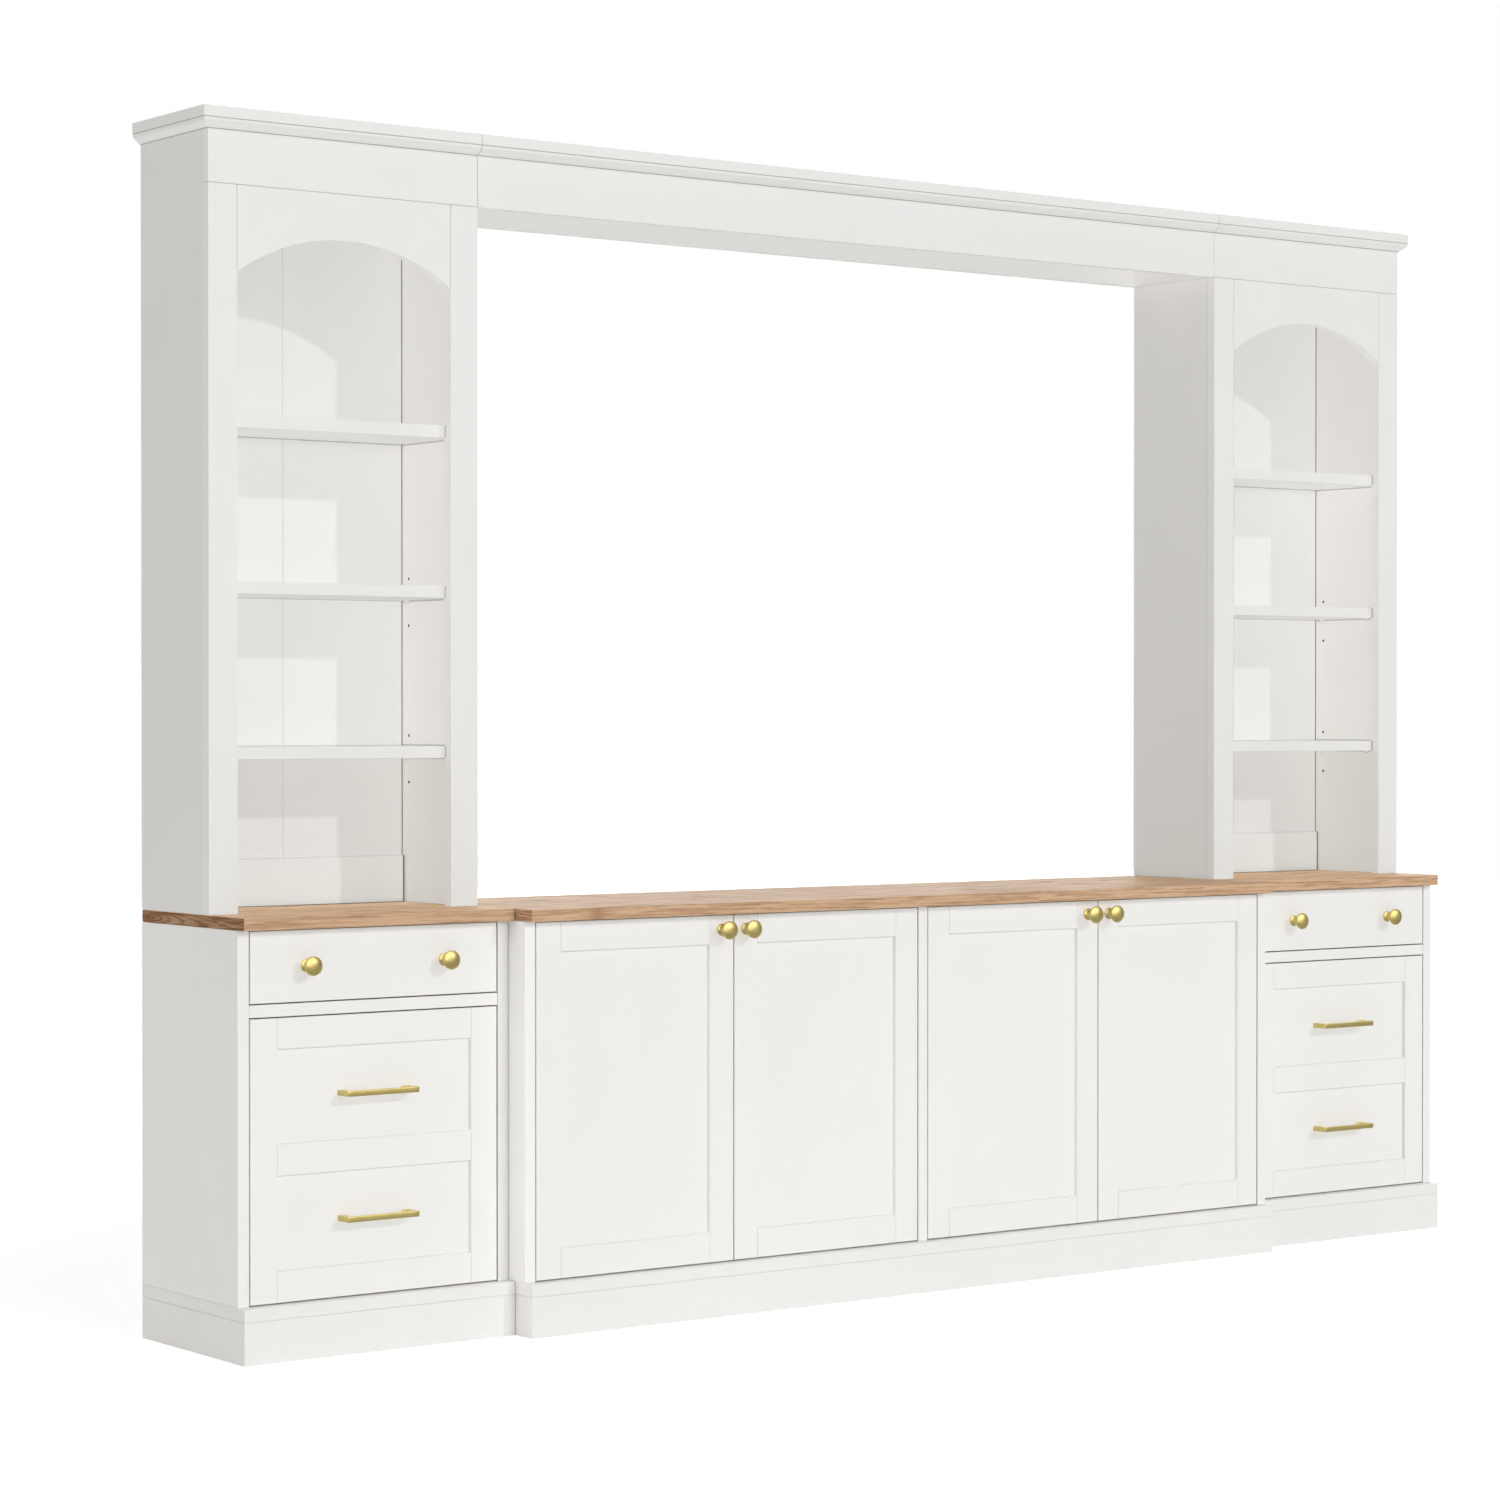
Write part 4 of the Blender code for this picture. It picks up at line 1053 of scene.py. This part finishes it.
class WALLUNIT_OT_paint_boards(bpy.types.Operator):
    """Paints the boards white, draws painted shade along their joints and plates the hinge arms and slides on
    them
    """
    bl_idname = "wallunit.paint_boards"
    bl_label = "Paint the boards"

    def execute(self, context):
        share = context.scene.wall_unit_paint.tower_share
        plain = painted("white satin paint")
        upper = painted("tower satin paint", share=share)
        plinth = painted("plinth satin paint", share=PLINTH_SHADE_SHARE)
        for name in nodes_of("white_paint"):
            dress(name, upper if is_upper(name) else plinth if name.endswith("_base") else plain)
        # Each tower side's share paints the light and shade that it gets.
        for name, (part, depth, shows_inside) in TOWER_SIDES.items():
            dress(name, painted("paint " + name, joints=side_lines(name, depth, shows_inside), share=part))
        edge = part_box("bridge_frame")[1].x
        masks = {"bridge_frame": end_lines(edge), "bridge_crown": crown_lines("bridge_crown", edge)}
        for side in SIDES:
            masks[side + "_pier_tower_face_frame"] = frame_lines(side)
            masks[side + "_pier_crown"] = crown_lines(side + "_pier_crown")
        for name, joints in masks.items():
            dress(name, painted("paint " + name, joints=joints, share=share))
        self.paint_cabinets()
        return {"FINISHED"}

    def paint_cabinets(self):
        """Fronts with painted shade round their sunk panels, and panels with the slides and hinge arms on
        them.
        """
        for side, right in zip(SIDES, (1, -1)):
            for label, facing in (("outer", right), ("inner", -right)):
                name = side + "_pier_" + label + "_side"
                dress(name, painted("paint and slides " + name, beyond(name, facing)))
            name = side + "_pier_deep_drawer_front"
            dress(name, painted("paint and joints " + name, joints=framed(name, 2, False)))
        # Painted light on the console's left side by its share.
        for name, (inward, share) in CONSOLE_SIDES.items():
            dress(name, painted("paint and hinges " + name, beyond(name, inward), share=share))
        dress("console_divider", painted("paint and hinges divider", outside(0.0, BOARD / 2)))
        for number in DOORS:
            name = "console_door_" + str(number)
            dress(name, painted("paint and joints " + name, joints=framed(name, 1, True)))


class WALLUNIT_OT_face_back_sheets(bpy.types.Operator):
    """Gives the back sheets their white front with painted shade at its corners, and their raw rear"""
    bl_idname = "wallunit.face_back_sheets"
    bl_label = "Face the back sheets"

    def execute(self, context):
        paint = context.scene.wall_unit_paint
        plain = sheeted("back sheet")
        for name in nodes_of("white_sheet"):
            dress(name, plain)
        for side in SIDES:
            dress(side + "_pier_tower_back", sheeted("back sheet " + side + " tower", corner_lines(side),
                                                     paint.tower_share, paint.sheet_share))
        return {"FINISHED"}


class WALLUNIT_OT_grain_worktops(bpy.types.Operator):
    """Gives the worktops their oak and painted shade round the towers' feet"""
    bl_idname = "wallunit.grain_worktops"
    bl_label = "Grain the worktops"

    def execute(self, context):
        dress("console_worktop", oiled_oak("oiled oak", *CONSOLE_OAK_LIGHT_SHARES, side_feet))
        for side in SIDES:
            name = "oiled oak under " + side + " tower"
            dress(side + "_pier_worktop", oiled_oak(name, *PIER_OAK_LIGHT_SHARES, foot_lines(side)))
        return {"FINISHED"}


class WALLUNIT_OT_finish_trays(bpy.types.Operator):
    """Finishes the drawer trays and plates the slide members on their sides"""
    bl_idname = "wallunit.finish_trays"
    bl_label = "Finish the drawer trays"

    def execute(self, context):
        for name in nodes_of("tray_board"):
            low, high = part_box(name)
            half = (high.x - low.x) / 2 - SLIDE_REACH
            dress(name, painted("tray " + name, outside((low.x + high.x) / 2, half)))
        return {"FINISHED"}


# Knobs and pulls; each ring of a turned piece is its radius and its reach

KNOB_RINGS = (
    (0.0094, 0.0000), (0.0095, 0.0014), (0.0090, 0.0021), (0.0074, 0.0027), (0.0063, 0.0040),
    (0.0057, 0.0058), (0.0054, 0.0082), (0.0055, 0.0106), (0.0062, 0.0128), (0.0077, 0.0146),
    (0.0098, 0.0160), (0.0118, 0.0171), (0.0133, 0.0182), (0.0141, 0.0194), (0.0143, 0.0205),
    (0.0142, 0.0216), (0.0137, 0.0229), (0.0128, 0.0241), (0.0114, 0.0252), (0.0096, 0.0262),
    (0.0074, 0.02695), (0.0050, 0.0275), (0.0025, 0.0278),
)
KNOB_TIP = 0.0279
PULL_HALF = 0.0605
PULL_POST = 0.009
PULL_BAR = 0.0065
PULL_EDGE = 0.0011
# Share of a post's reach, and its spread towards the pull's middle and away from it
POST_STAGES = ((0.45, 0.0, 0.0), (0.25, 0.0012, 0.0), (0.17, 0.0032, 0.0004), (0.13, 0.006, 0.0015))


class WALLUNIT_OT_turn_knobs(bpy.types.Operator):
    """Turns the brass knobs and sets one in each CAD knob's place"""
    bl_idname = "wallunit.turn_knobs"
    bl_label = "Turn the knobs"

    def execute(self, context):
        model = turn("knob_model", KNOB_RINGS, KNOB_TIP, 56)
        for name in nodes_of("brass"):
            if "knob" in name:
                middle = middle_of(name)
                foot = shift(middle.x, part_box(name)[1].y, middle.z)
                knob = repeat(model, "turned_" + name, [foot], body_of_node(name), brass())
                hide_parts(name)
        discard(model)
        return {"FINISHED"}


class WALLUNIT_OT_shape_pulls(bpy.types.Operator):
    """Shapes the brass bar pulls and sets one in each CAD pull's place"""
    bl_idname = "wallunit.shape_pulls"
    bl_label = "Shape the pulls"

    def execute(self, context):
        names = [name for name in nodes_of("brass") if name.endswith("_pull")]
        model = self.shape(names[0])
        for name in names:
            move = shift(*(middle_of(name) - middle_of(names[0])))
            pull = repeat(model, "bar_" + name, [move], body_of_node(name), brass())
            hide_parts(name)
        discard(model)
        return {"FINISHED"}

    def shape(self, name):
        """Draws two posts out of the back of a bar, flares their feet and eases every edge."""
        low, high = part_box(name)
        middle = (low.x + high.x) / 2
        bar_back = low.y + PULL_BAR
        item = add_block("bar_model", (middle - PULL_HALF, low.y, low.z),
                         (middle + PULL_HALF, bar_back, high.z))
        inner = PULL_HALF - PULL_POST
        edit(item)
        for offset in (inner, -inner):
            bpy.ops.mesh.select_all(action="SELECT")
            bpy.ops.mesh.bisect(plane_co=(middle + offset, 0, 0), plane_no=(1, 0, 0))
        pick(item, "FACE", lambda face: face.normal.y > FLAT
             and abs(face.calc_center_median().x - middle) > inner)
        grown = (0.0, 0.0)
        for share, inwards, outwards in POST_STAGES:
            pull_out((0, (high.y - bar_back) * share, 0))
            self.flare_feet(item, middle, inwards - grown[0], outwards - grown[1])
            grown = (inwards, outwards)
        close_edit()
        fix_normals(item)
        round_edges(item, PULL_EDGE, 3, 30)
        return smooth(item, 40)

    def flare_feet(self, item, middle, inwards, outwards):
        """Spreads the picked post ends towards the middle of the pull and away from it."""
        shape = bmesh.from_edit_mesh(item.data)
        for vert in shape.verts:
            if vert.select:
                side = 1 if vert.co.x > middle else -1
                is_inner = abs(vert.co.x - middle) < PULL_HALF - PULL_POST / 2
                vert.co.x += -side * inwards if is_inner else side * outwards
        bmesh.update_edit_mesh(item.data)


# Hinges; a block is its low and high corner, and a place has its parts in the order x, y, z

FLANGE = ((-0.011, 0.0001, -0.031), (0.0185, 0.0011, 0.031))
FLANGE_CORNER = 0.006
PASSAGE = ((-0.02, -0.01, -0.0094), (0.0012, 0.01, 0.0094))
FINE_EDGE = 0.0003
BORE_LAP = 0.0012
BORE_DEPTH = 0.02
BORE_START = 0.0010
DISH_PLAY = 0.0004
DISH_BED = 0.0002
DISH_WALL = 0.0008
DISH_START = 0.0006
CUP_SIDES = 48
EAR = (0.003, 0.0011, 0.0245)
PLATE_INSET = 0.002
WING = ((0.0001, 0.033, -0.026), (0.0022, 0.047, 0.026))
WING_CORNER = 0.0062
WING_EDGE = 0.0004
CAP = ((0.0115, 0.0275, -0.0070), (0.0128, 0.0605, 0.0070))
CAP_CORNER = 0.0025
CAP_MARGIN = 0.0014
CAP_RISE = 0.0008
PLATE_SCREWS = ((0.0023, 0.040, 0.019), (0.0023, 0.040, -0.019), (0.0136, 0.036, 0.0), (0.0136, 0.053, 0.0))


def halve(item, x):
    """Keeps what lies beyond x and closes the cut."""
    edit(item)
    bpy.ops.mesh.select_all(action="SELECT")
    bpy.ops.mesh.bisect(plane_co=(x, 0, 0), plane_no=(1, 0, 0), clear_inner=True, use_fill=True)
    close_edit()


class WALLUNIT_OT_fit_hinges(bpy.types.Operator):
    """Fits the hinge cups and flanges to the doors, and the mounting plates and arm caps to the panels"""
    bl_idname = "wallunit.fit_hinges"
    bl_label = "Fit the hinges"

    def execute(self, context):
        fit = context.scene.wall_unit_fittings
        models = (self.shape_cup(fit), self.shape_plate(), shape_screw(fit))
        for number in DOORS:
            self.fit_door(fit, number, *models)
        discard(*models)
        return {"FINISHED"}

    def fit_door(self, fit, number, cup, plate, screw):
        """Both hinges of one door."""
        name = "console_door_" + str(number)
        label = "_door_" + str(number)
        low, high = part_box(name)
        side = 1 if number % 2 else -1
        edge = low.x if side > 0 else high.x
        mirror = Matrix.Scale(side, 4, (1, 0, 0))
        cups, ears, feet, heads = [], [], [], []
        for height in (low.z + fit.hinge_from_edge, high.z - fit.hinge_from_edge):
            x, y = edge + side * fit.cup_inset, high.y
            cups.append(shift(x, y, height) @ mirror)
            ears += [shift(x + side * EAR[0], y + EAR[1], height + rise) @ spin(180)
                     for rise in (-EAR[2], EAR[2])]
            x, y = edge - side * PLATE_INSET, low.y
            feet.append(shift(x, y, height) @ mirror)
            heads += [shift(x + side * a, y + b, height + c) @ spin(90 * side) for a, b, c in PLATE_SCREWS]
        repeat(cup, "hinge_cups" + label, cups, body_of_node(name), steel())
        repeat(screw, "flange_screws" + label, ears, body_of_node(name), steel())
        repeat(plate, "hinge_plates" + label, feet, CARCASE, steel())
        repeat(screw, "plate_screws" + label, heads, CARCASE, steel())

    def shape_cup(self, fit):
        """A flange, open for the arm, round the half of the cup that the arm leaves free."""
        flange = add_block("cup_model", *FLANGE)
        ease_corners(flange, 1, FLANGE_CORNER)
        cut(flange, add_block("passage", *PASSAGE))
        bore = add_round("bore", fit.cup_radius - BORE_LAP, BORE_DEPTH, (0, 0, 0), CUP_SIDES)
        halve(bore, BORE_START)
        cut(flange, bore)
        depth = fit.cup_depth - DISH_BED
        middle = (0, DISH_PLAY - depth / 2, 0)
        dish = add_round("dish", fit.cup_radius - DISH_PLAY, depth, middle, CUP_SIDES)
        raise_face(dish, lambda face: face.normal.y > FLAT, DISH_WALL, (0, DISH_WALL - depth, 0))
        halve(dish, DISH_START)
        round_edges(flange, FINE_EDGE, 1, 40)
        fuse(flange, dish)
        return finish_shape(flange, 40)

    def shape_plate(self):
        """A winged mounting plate on the panel and a raised cap over the arm."""
        wing = add_block("plate_model", *WING)
        ease_corners(wing, 0, WING_CORNER)
        round_edges(wing, WING_EDGE, 2, 40)
        cap = add_block("cap", *CAP)
        ease_corners(cap, 0, CAP_CORNER)
        raise_face(cap, lambda face: face.normal.x > FLAT, CAP_MARGIN, (CAP_RISE, 0, 0))
        round_edges(cap, FINE_EDGE, 1, 40)
        fuse(wing, cap)
        return finish_shape(wing, 40)


# Screws, nails and pins

SCREW_RISE = 0.0013
# Shares of a screw head's radius and rise, ring by ring
SCREW_SHARES = ((1.0, 0.0), (1.0, 0.35), (0.92, 0.75), (0.72, 0.98), (0.40, 1.0))
SCREW_TIP_SHARE = 1.02
CROSS_SHARES = (0.60, 0.12, 0.35)
NAIL_RINGS = ((0.0022, 0.0), (0.0024, 0.0003), (0.0019, 0.0007))
NAIL_TIP = 0.0009
NAIL_INSET = 0.03
RAIL_NAIL = 0.055
TRAY_BOARD = 0.012
TRAY_SCREW = 0.165
PULL_SCREW_INSET = 0.006
PIN_RINGS = (
    (0.0018, -0.0066), (0.0023, -0.0061), (0.00235, 0.0006), (0.00245, 0.0010), (0.00245, 0.0024),
    (0.0021, 0.0027), (0.0021, 0.0033), (0.0023, 0.0037), (0.0023, 0.0072), (0.0019, 0.0078),
)
PIN_TIP = 0.0080
# Painted shade: the pins' white is darkened to this share under the shelves.
NYLON_SHADE_SHARE = 0.80
SEAT_GAP = 0.0003


def shape_screw(fit):
    """A low screw head that faces -Y, with a cross recess."""
    radius = fit.screw_radius
    rings = [(radius * across, SCREW_RISE * up) for across, up in SCREW_SHARES]
    screw = turn("screw_model", rings, SCREW_RISE * SCREW_TIP_SHARE, 24)
    reach, half, bed = CROSS_SHARES
    for degrees in (0, 90):
        bar = add_block("bar", (-radius * reach, -SCREW_RISE * 2, -radius * half),
                        (radius * reach, -SCREW_RISE * bed, radius * half))
        bar.data.transform(Matrix.Rotation(math.radians(degrees), 4, "Y"))
        cut(screw, bar)
    return finish_shape(screw, 40)


def along(start, end, count):
    """Even places from start to end."""
    return [start + (end - start) * i / (count - 1) for i in range(count)]


class WALLUNIT_OT_drive_screws(bpy.types.Operator):
    """Drives the screws behind the knobs, pulls and drawer fronts, and the nails of the back sheets"""
    bl_idname = "wallunit.drive_screws"
    bl_label = "Drive the screws"

    def execute(self, context):
        screw = shape_screw(context.scene.wall_unit_fittings)
        for number in DOORS:
            name = "console_door_" + str(number)
            knob = middle_of("console_knob_" + str(number))
            self.drive(screw, "knob_screw_door_" + str(number), [(knob.x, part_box(name)[1].y, knob.z)],
                       body_of_node(name))
        for side in SIDES:
            self.screw_drawer(screw, side, "small", ("left_knob", "right_knob"), 0.0)
            self.screw_drawer(screw, side, "deep", ("lower_pull", "upper_pull"), PULL_SCREW_INSET)
        nail = turn("nail_model", NAIL_RINGS, NAIL_TIP, 12)
        self.drive(nail, "back_sheet_nails", self.nail_places(), CARCASE)
        discard(screw, nail)
        return {"FINISHED"}

    def drive(self, model, name, places, body):
        """Sets a head that faces back at each place."""
        repeat(model, name, [shift(*place) @ spin(180) for place in places], body, steel())

    def screw_drawer(self, screw, side, kind, handles, inset):
        """Screws through a tray into its front, and into knobs or, at an inset from both ends, into pulls."""
        start = side + "_pier_" + kind + "_drawer"
        low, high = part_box(start + "_tray")
        middle = (low + high) / 2
        strip = low.y + TRAY_BOARD
        places = [(middle.x + x, strip, middle.z) for x in (-TRAY_SCREW, TRAY_SCREW)]
        for handle in handles:
            near_low, near_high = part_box(side + "_pier_" + handle)
            centre = (near_low + near_high) / 2
            reach = (near_high.x - near_low.x) / 2 - inset if inset else 0.0
            rear = strip if centre.z < high.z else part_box(start + "_front")[1].y
            places += [(centre.x + x, rear, centre.z) for x in sorted({-reach, reach})]
        self.drive(screw, "screws_" + start, places, body_of_node(start + "_tray"))

    def nail_places(self):
        """Places of the nails through the sheets into the fixed shelves, the foot rails and the divider."""
        console_low, console_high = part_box("console_back")
        rear = console_high.y
        places = []
        for side in SIDES:
            low, high = tower_box(side, "back")
            shelf = sum(shelf_heights()[2]) / 2
            for height in (shelf, low.z + RAIL_NAIL):
                places += [(x, rear, height) for x in along(low.x + NAIL_INSET, high.x - NAIL_INSET, 5)]
        heights = along(console_low.z + NAIL_INSET, console_high.z - NAIL_INSET, 6)
        return places + [(0.0, rear, height) for height in heights]


class WALLUNIT_OT_set_pins(bpy.types.Operator):
    """Sets four pins under each loose shelf"""
    bl_idname = "wallunit.set_pins"
    bl_label = "Set the shelf pins"

    def execute(self, context):
        fit = context.scene.wall_unit_fittings
        pin = turn("pin_model", PIN_RINGS, PIN_TIP, 20)
        # The pins' paint is darkened as painted shade.
        nylon = painted("white nylon", share=NYLON_SHADE_SHARE)
        shelves = [side + "_pier_tower_" + label for side in SIDES for label in ("lower", "middle")]
        for name in [start + "_shelf" for start in (*shelves, "console_left", "console_right")]:
            low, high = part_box(name)
            rows = (low.y + fit.pin_front, high.y - fit.pin_back + SEAT_GAP)
            ends = ((low.x - fit.shelf_play, 90), (high.x + fit.shelf_play, -90))
            changes = [shift(x, y, low.z - fit.pin_hole) @ spin(degrees) for x, degrees in ends for y in rows]
            repeat(pin, "pins_" + name, changes, CARCASE, nylon)
        discard(pin)
        return {"FINISHED"}


# Studio

SENSOR = 36
FAR = 60
FLOOR_SIZE = 24
FLOOR_CLOUD = (0.885, 0.885, 0.885)
FLOOR_FADE = (1.3, 3.0, 0.52, 1.0)
MIRRORED_GLOW = 0.42
MIRRORED_SHARE = 1.2
SKY = (1, 0.995, 0.985)
WHITE = (1, 1, 1)
GLINT_HEADING = (-0.45, -0.60, 0.66)
GLINT_RANGE = (0.1, 0.97)
LEFT_TINT = (0.960, 0.940, 0.909)
LAMP_DISTANCE = 3


class WALLUNIT_OT_set_studio(bpy.types.Operator):
    """Sets the floor, the light and the camera"""
    bl_idname = "wallunit.set_studio"
    bl_label = "Set the studio"

    def execute(self, context):
        studio = context.scene.wall_unit_studio
        self.set_camera(context, studio)
        self.set_floor(studio)
        self.set_world(context, studio)
        self.set_lamps(studio)
        context.scene.view_settings.view_transform = "Standard"
        return {"FINISHED"}

    def set_camera(self, context, studio):
        """The camera of the photograph."""
        bpy.ops.object.camera_add(location=studio.camera_place,
                                  rotation=(math.pi / 2 - studio.camera_dip, 0, -studio.camera_turn))
        camera = bpy.context.object
        camera.name = "photo_camera"
        camera.data.lens = studio.lens
        camera.data.sensor_width = SENSOR
        camera.data.clip_end = FAR
        context.scene.camera = camera

    def set_floor(self, studio):
        """A pale floor that fades to plain white away from the unit."""
        pick_nothing()
        bpy.ops.mesh.primitive_plane_add(size=FLOOR_SIZE, location=(0, 0, 0))
        floor = named("studio_floor")
        material, shader, place = start_material("pale floor")
        tone = remap(noise(place, 2.2, 4.0, 0.6), 0.3, 0.7)
        feed(blend(tone, rgba(studio.floor), rgba(FLOOR_CLOUD)), shader["Base Color"])
        feed(0.9, shader["Roughness"])
        feed(0.0, shader["Specular IOR Level"])
        mirrored = ray(place, "Glossy")
        glow = remap(mirrored, 0.0, 1.0, studio.floor_glow, MIRRORED_GLOW)
        light = wire("ShaderNodeEmission", {"Color": rgba(WHITE), "Strength": glow})
        away = wire("ShaderNodeVectorMath", {0: place}, "Value", operation="LENGTH")
        seen = (ray(place, "Camera") | mirrored * MIRRORED_SHARE) * remap(away, *FLOOR_FADE)
        nodes = material.node_tree.nodes
        plain = Value(nodes["Principled BSDF"].outputs[0])
        feed(mix_shaders(seen, plain, light), nodes["Material Output"].inputs["Surface"])
        floor.data.materials.append(material)

    def set_world(self, context, studio):
        """Even white light from all round, plain white behind the unit, and a soft gradient for metal."""
        world = bpy.data.worlds.new("white studio")
        context.scene.world = world
        world.use_nodes = True
        tree = world.node_tree
        direction = Value(put(tree, "ShaderNodeTexCoord").outputs["Generated"])
        heading = {0: direction, 1: Vector(GLINT_HEADING).normalized()}
        bright = remap(wire("ShaderNodeVectorMath", heading, "Value", operation="DOT_PRODUCT"), *GLINT_RANGE,
                       studio.gloom, studio.glint)
        sky = light_world(tree.nodes["Background"], SKY, studio.sky)
        room = light_world(put(tree, "ShaderNodeBackground"), WHITE, bright)
        white = light_world(put(tree, "ShaderNodeBackground"), WHITE, 1.0)
        seen = ray(direction, "Camera") | ray(direction, "Transmission")
        whole = mix_shaders(seen, mix_shaders(ray(direction, "Glossy"), sky, room), white)
        feed(whole, tree.nodes["World Output"].inputs["Surface"])

    def set_lamps(self, studio):
        """A key sun that draws the shadows, fills that only the cabinets shade, and a rear light."""
        blockers = bpy.data.collections.new("shade the fills")
        for name, item in frame["nodes"].items():
            if not is_upper(name) and name not in nodes_of("brass"):
                blockers.objects.link(item)
        for name, heading, strength, colour, degrees, shades in (
                ("key_sun", (-0.468, 1.0, -0.537), studio.key, WHITE, 1.2, None),
                ("front_fill", (-0.10, 1.0, -0.28), studio.front, WHITE, 30, blockers),
                ("left_fill", (1.0, 0.0, -0.2), studio.left, LEFT_TINT, 20, blockers),
                ("floor_fill", (0.0, 0.0, 1.0), studio.below, WHITE, 60, blockers),
                ("top_light", (0.0, 0.0, -1.0), studio.above, WHITE, 60, blockers),
                ("rear_light", (-0.55, -1.0, -0.2), studio.rear, WHITE, 40, None)):
            bpy.ops.object.light_add(type="SUN", location=-LAMP_DISTANCE * Vector(heading))
            sun = bpy.context.object
            sun.name = name
            sun.data.energy = strength
            sun.data.color = colour
            sun.data.angle = math.radians(degrees)
            sun.rotation_euler = Vector(heading).to_track_quat("-Z", "Y").to_euler()
            if shades:
                sun.light_linking.blocker_collection = shades
                sun.visible_glossy = False


STEPS = (
    WALLUNIT_OT_paint_boards,
    WALLUNIT_OT_face_back_sheets,
    WALLUNIT_OT_grain_worktops,
    WALLUNIT_OT_finish_trays,
    WALLUNIT_OT_turn_knobs,
    WALLUNIT_OT_shape_pulls,
    WALLUNIT_OT_fit_hinges,
    WALLUNIT_OT_drive_screws,
    WALLUNIT_OT_set_pins,
    WALLUNIT_OT_set_studio,
)


class WALLUNIT_PT_looks(bpy.types.Panel):
    """Steps that dress the wall unit"""
    bl_label = "Wall unit"
    bl_idname = "WALLUNIT_PT_looks"
    bl_space_type = "VIEW_3D"
    bl_region_type = "UI"
    bl_category = "Wall unit"

    def draw(self, context):
        for group in SETTINGS:
            box = self.layout.box()
            settings = getattr(context.scene, group)
            for key in settings.bl_rna.properties.keys():
                if key not in ("rna_type", "name"):
                    box.prop(settings, key)
        for step in STEPS:
            self.layout.operator(step.bl_idname)


def register():
    """Registers the settings, the steps and the panel."""
    for kind in (*SETTINGS.values(), *STEPS, WALLUNIT_PT_looks):
        bpy.utils.register_class(kind)
    for name, kind in SETTINGS.items():
        setattr(bpy.types.Scene, name, bpy.props.PointerProperty(type=kind))


def unregister():
    """Takes the panel, the steps and the settings away again."""
    for name in SETTINGS:
        delattr(bpy.types.Scene, name)
    for kind in (WALLUNIT_PT_looks, *reversed(STEPS), *reversed(tuple(SETTINGS.values()))):
        bpy.utils.unregister_class(kind)


def main():
    """Dresses the unit step by step."""
    register()
    for step in STEPS:
        group, call = step.bl_idname.split(".")
        getattr(getattr(bpy.ops, group), call)()


if __name__ == "__main__":
    main()
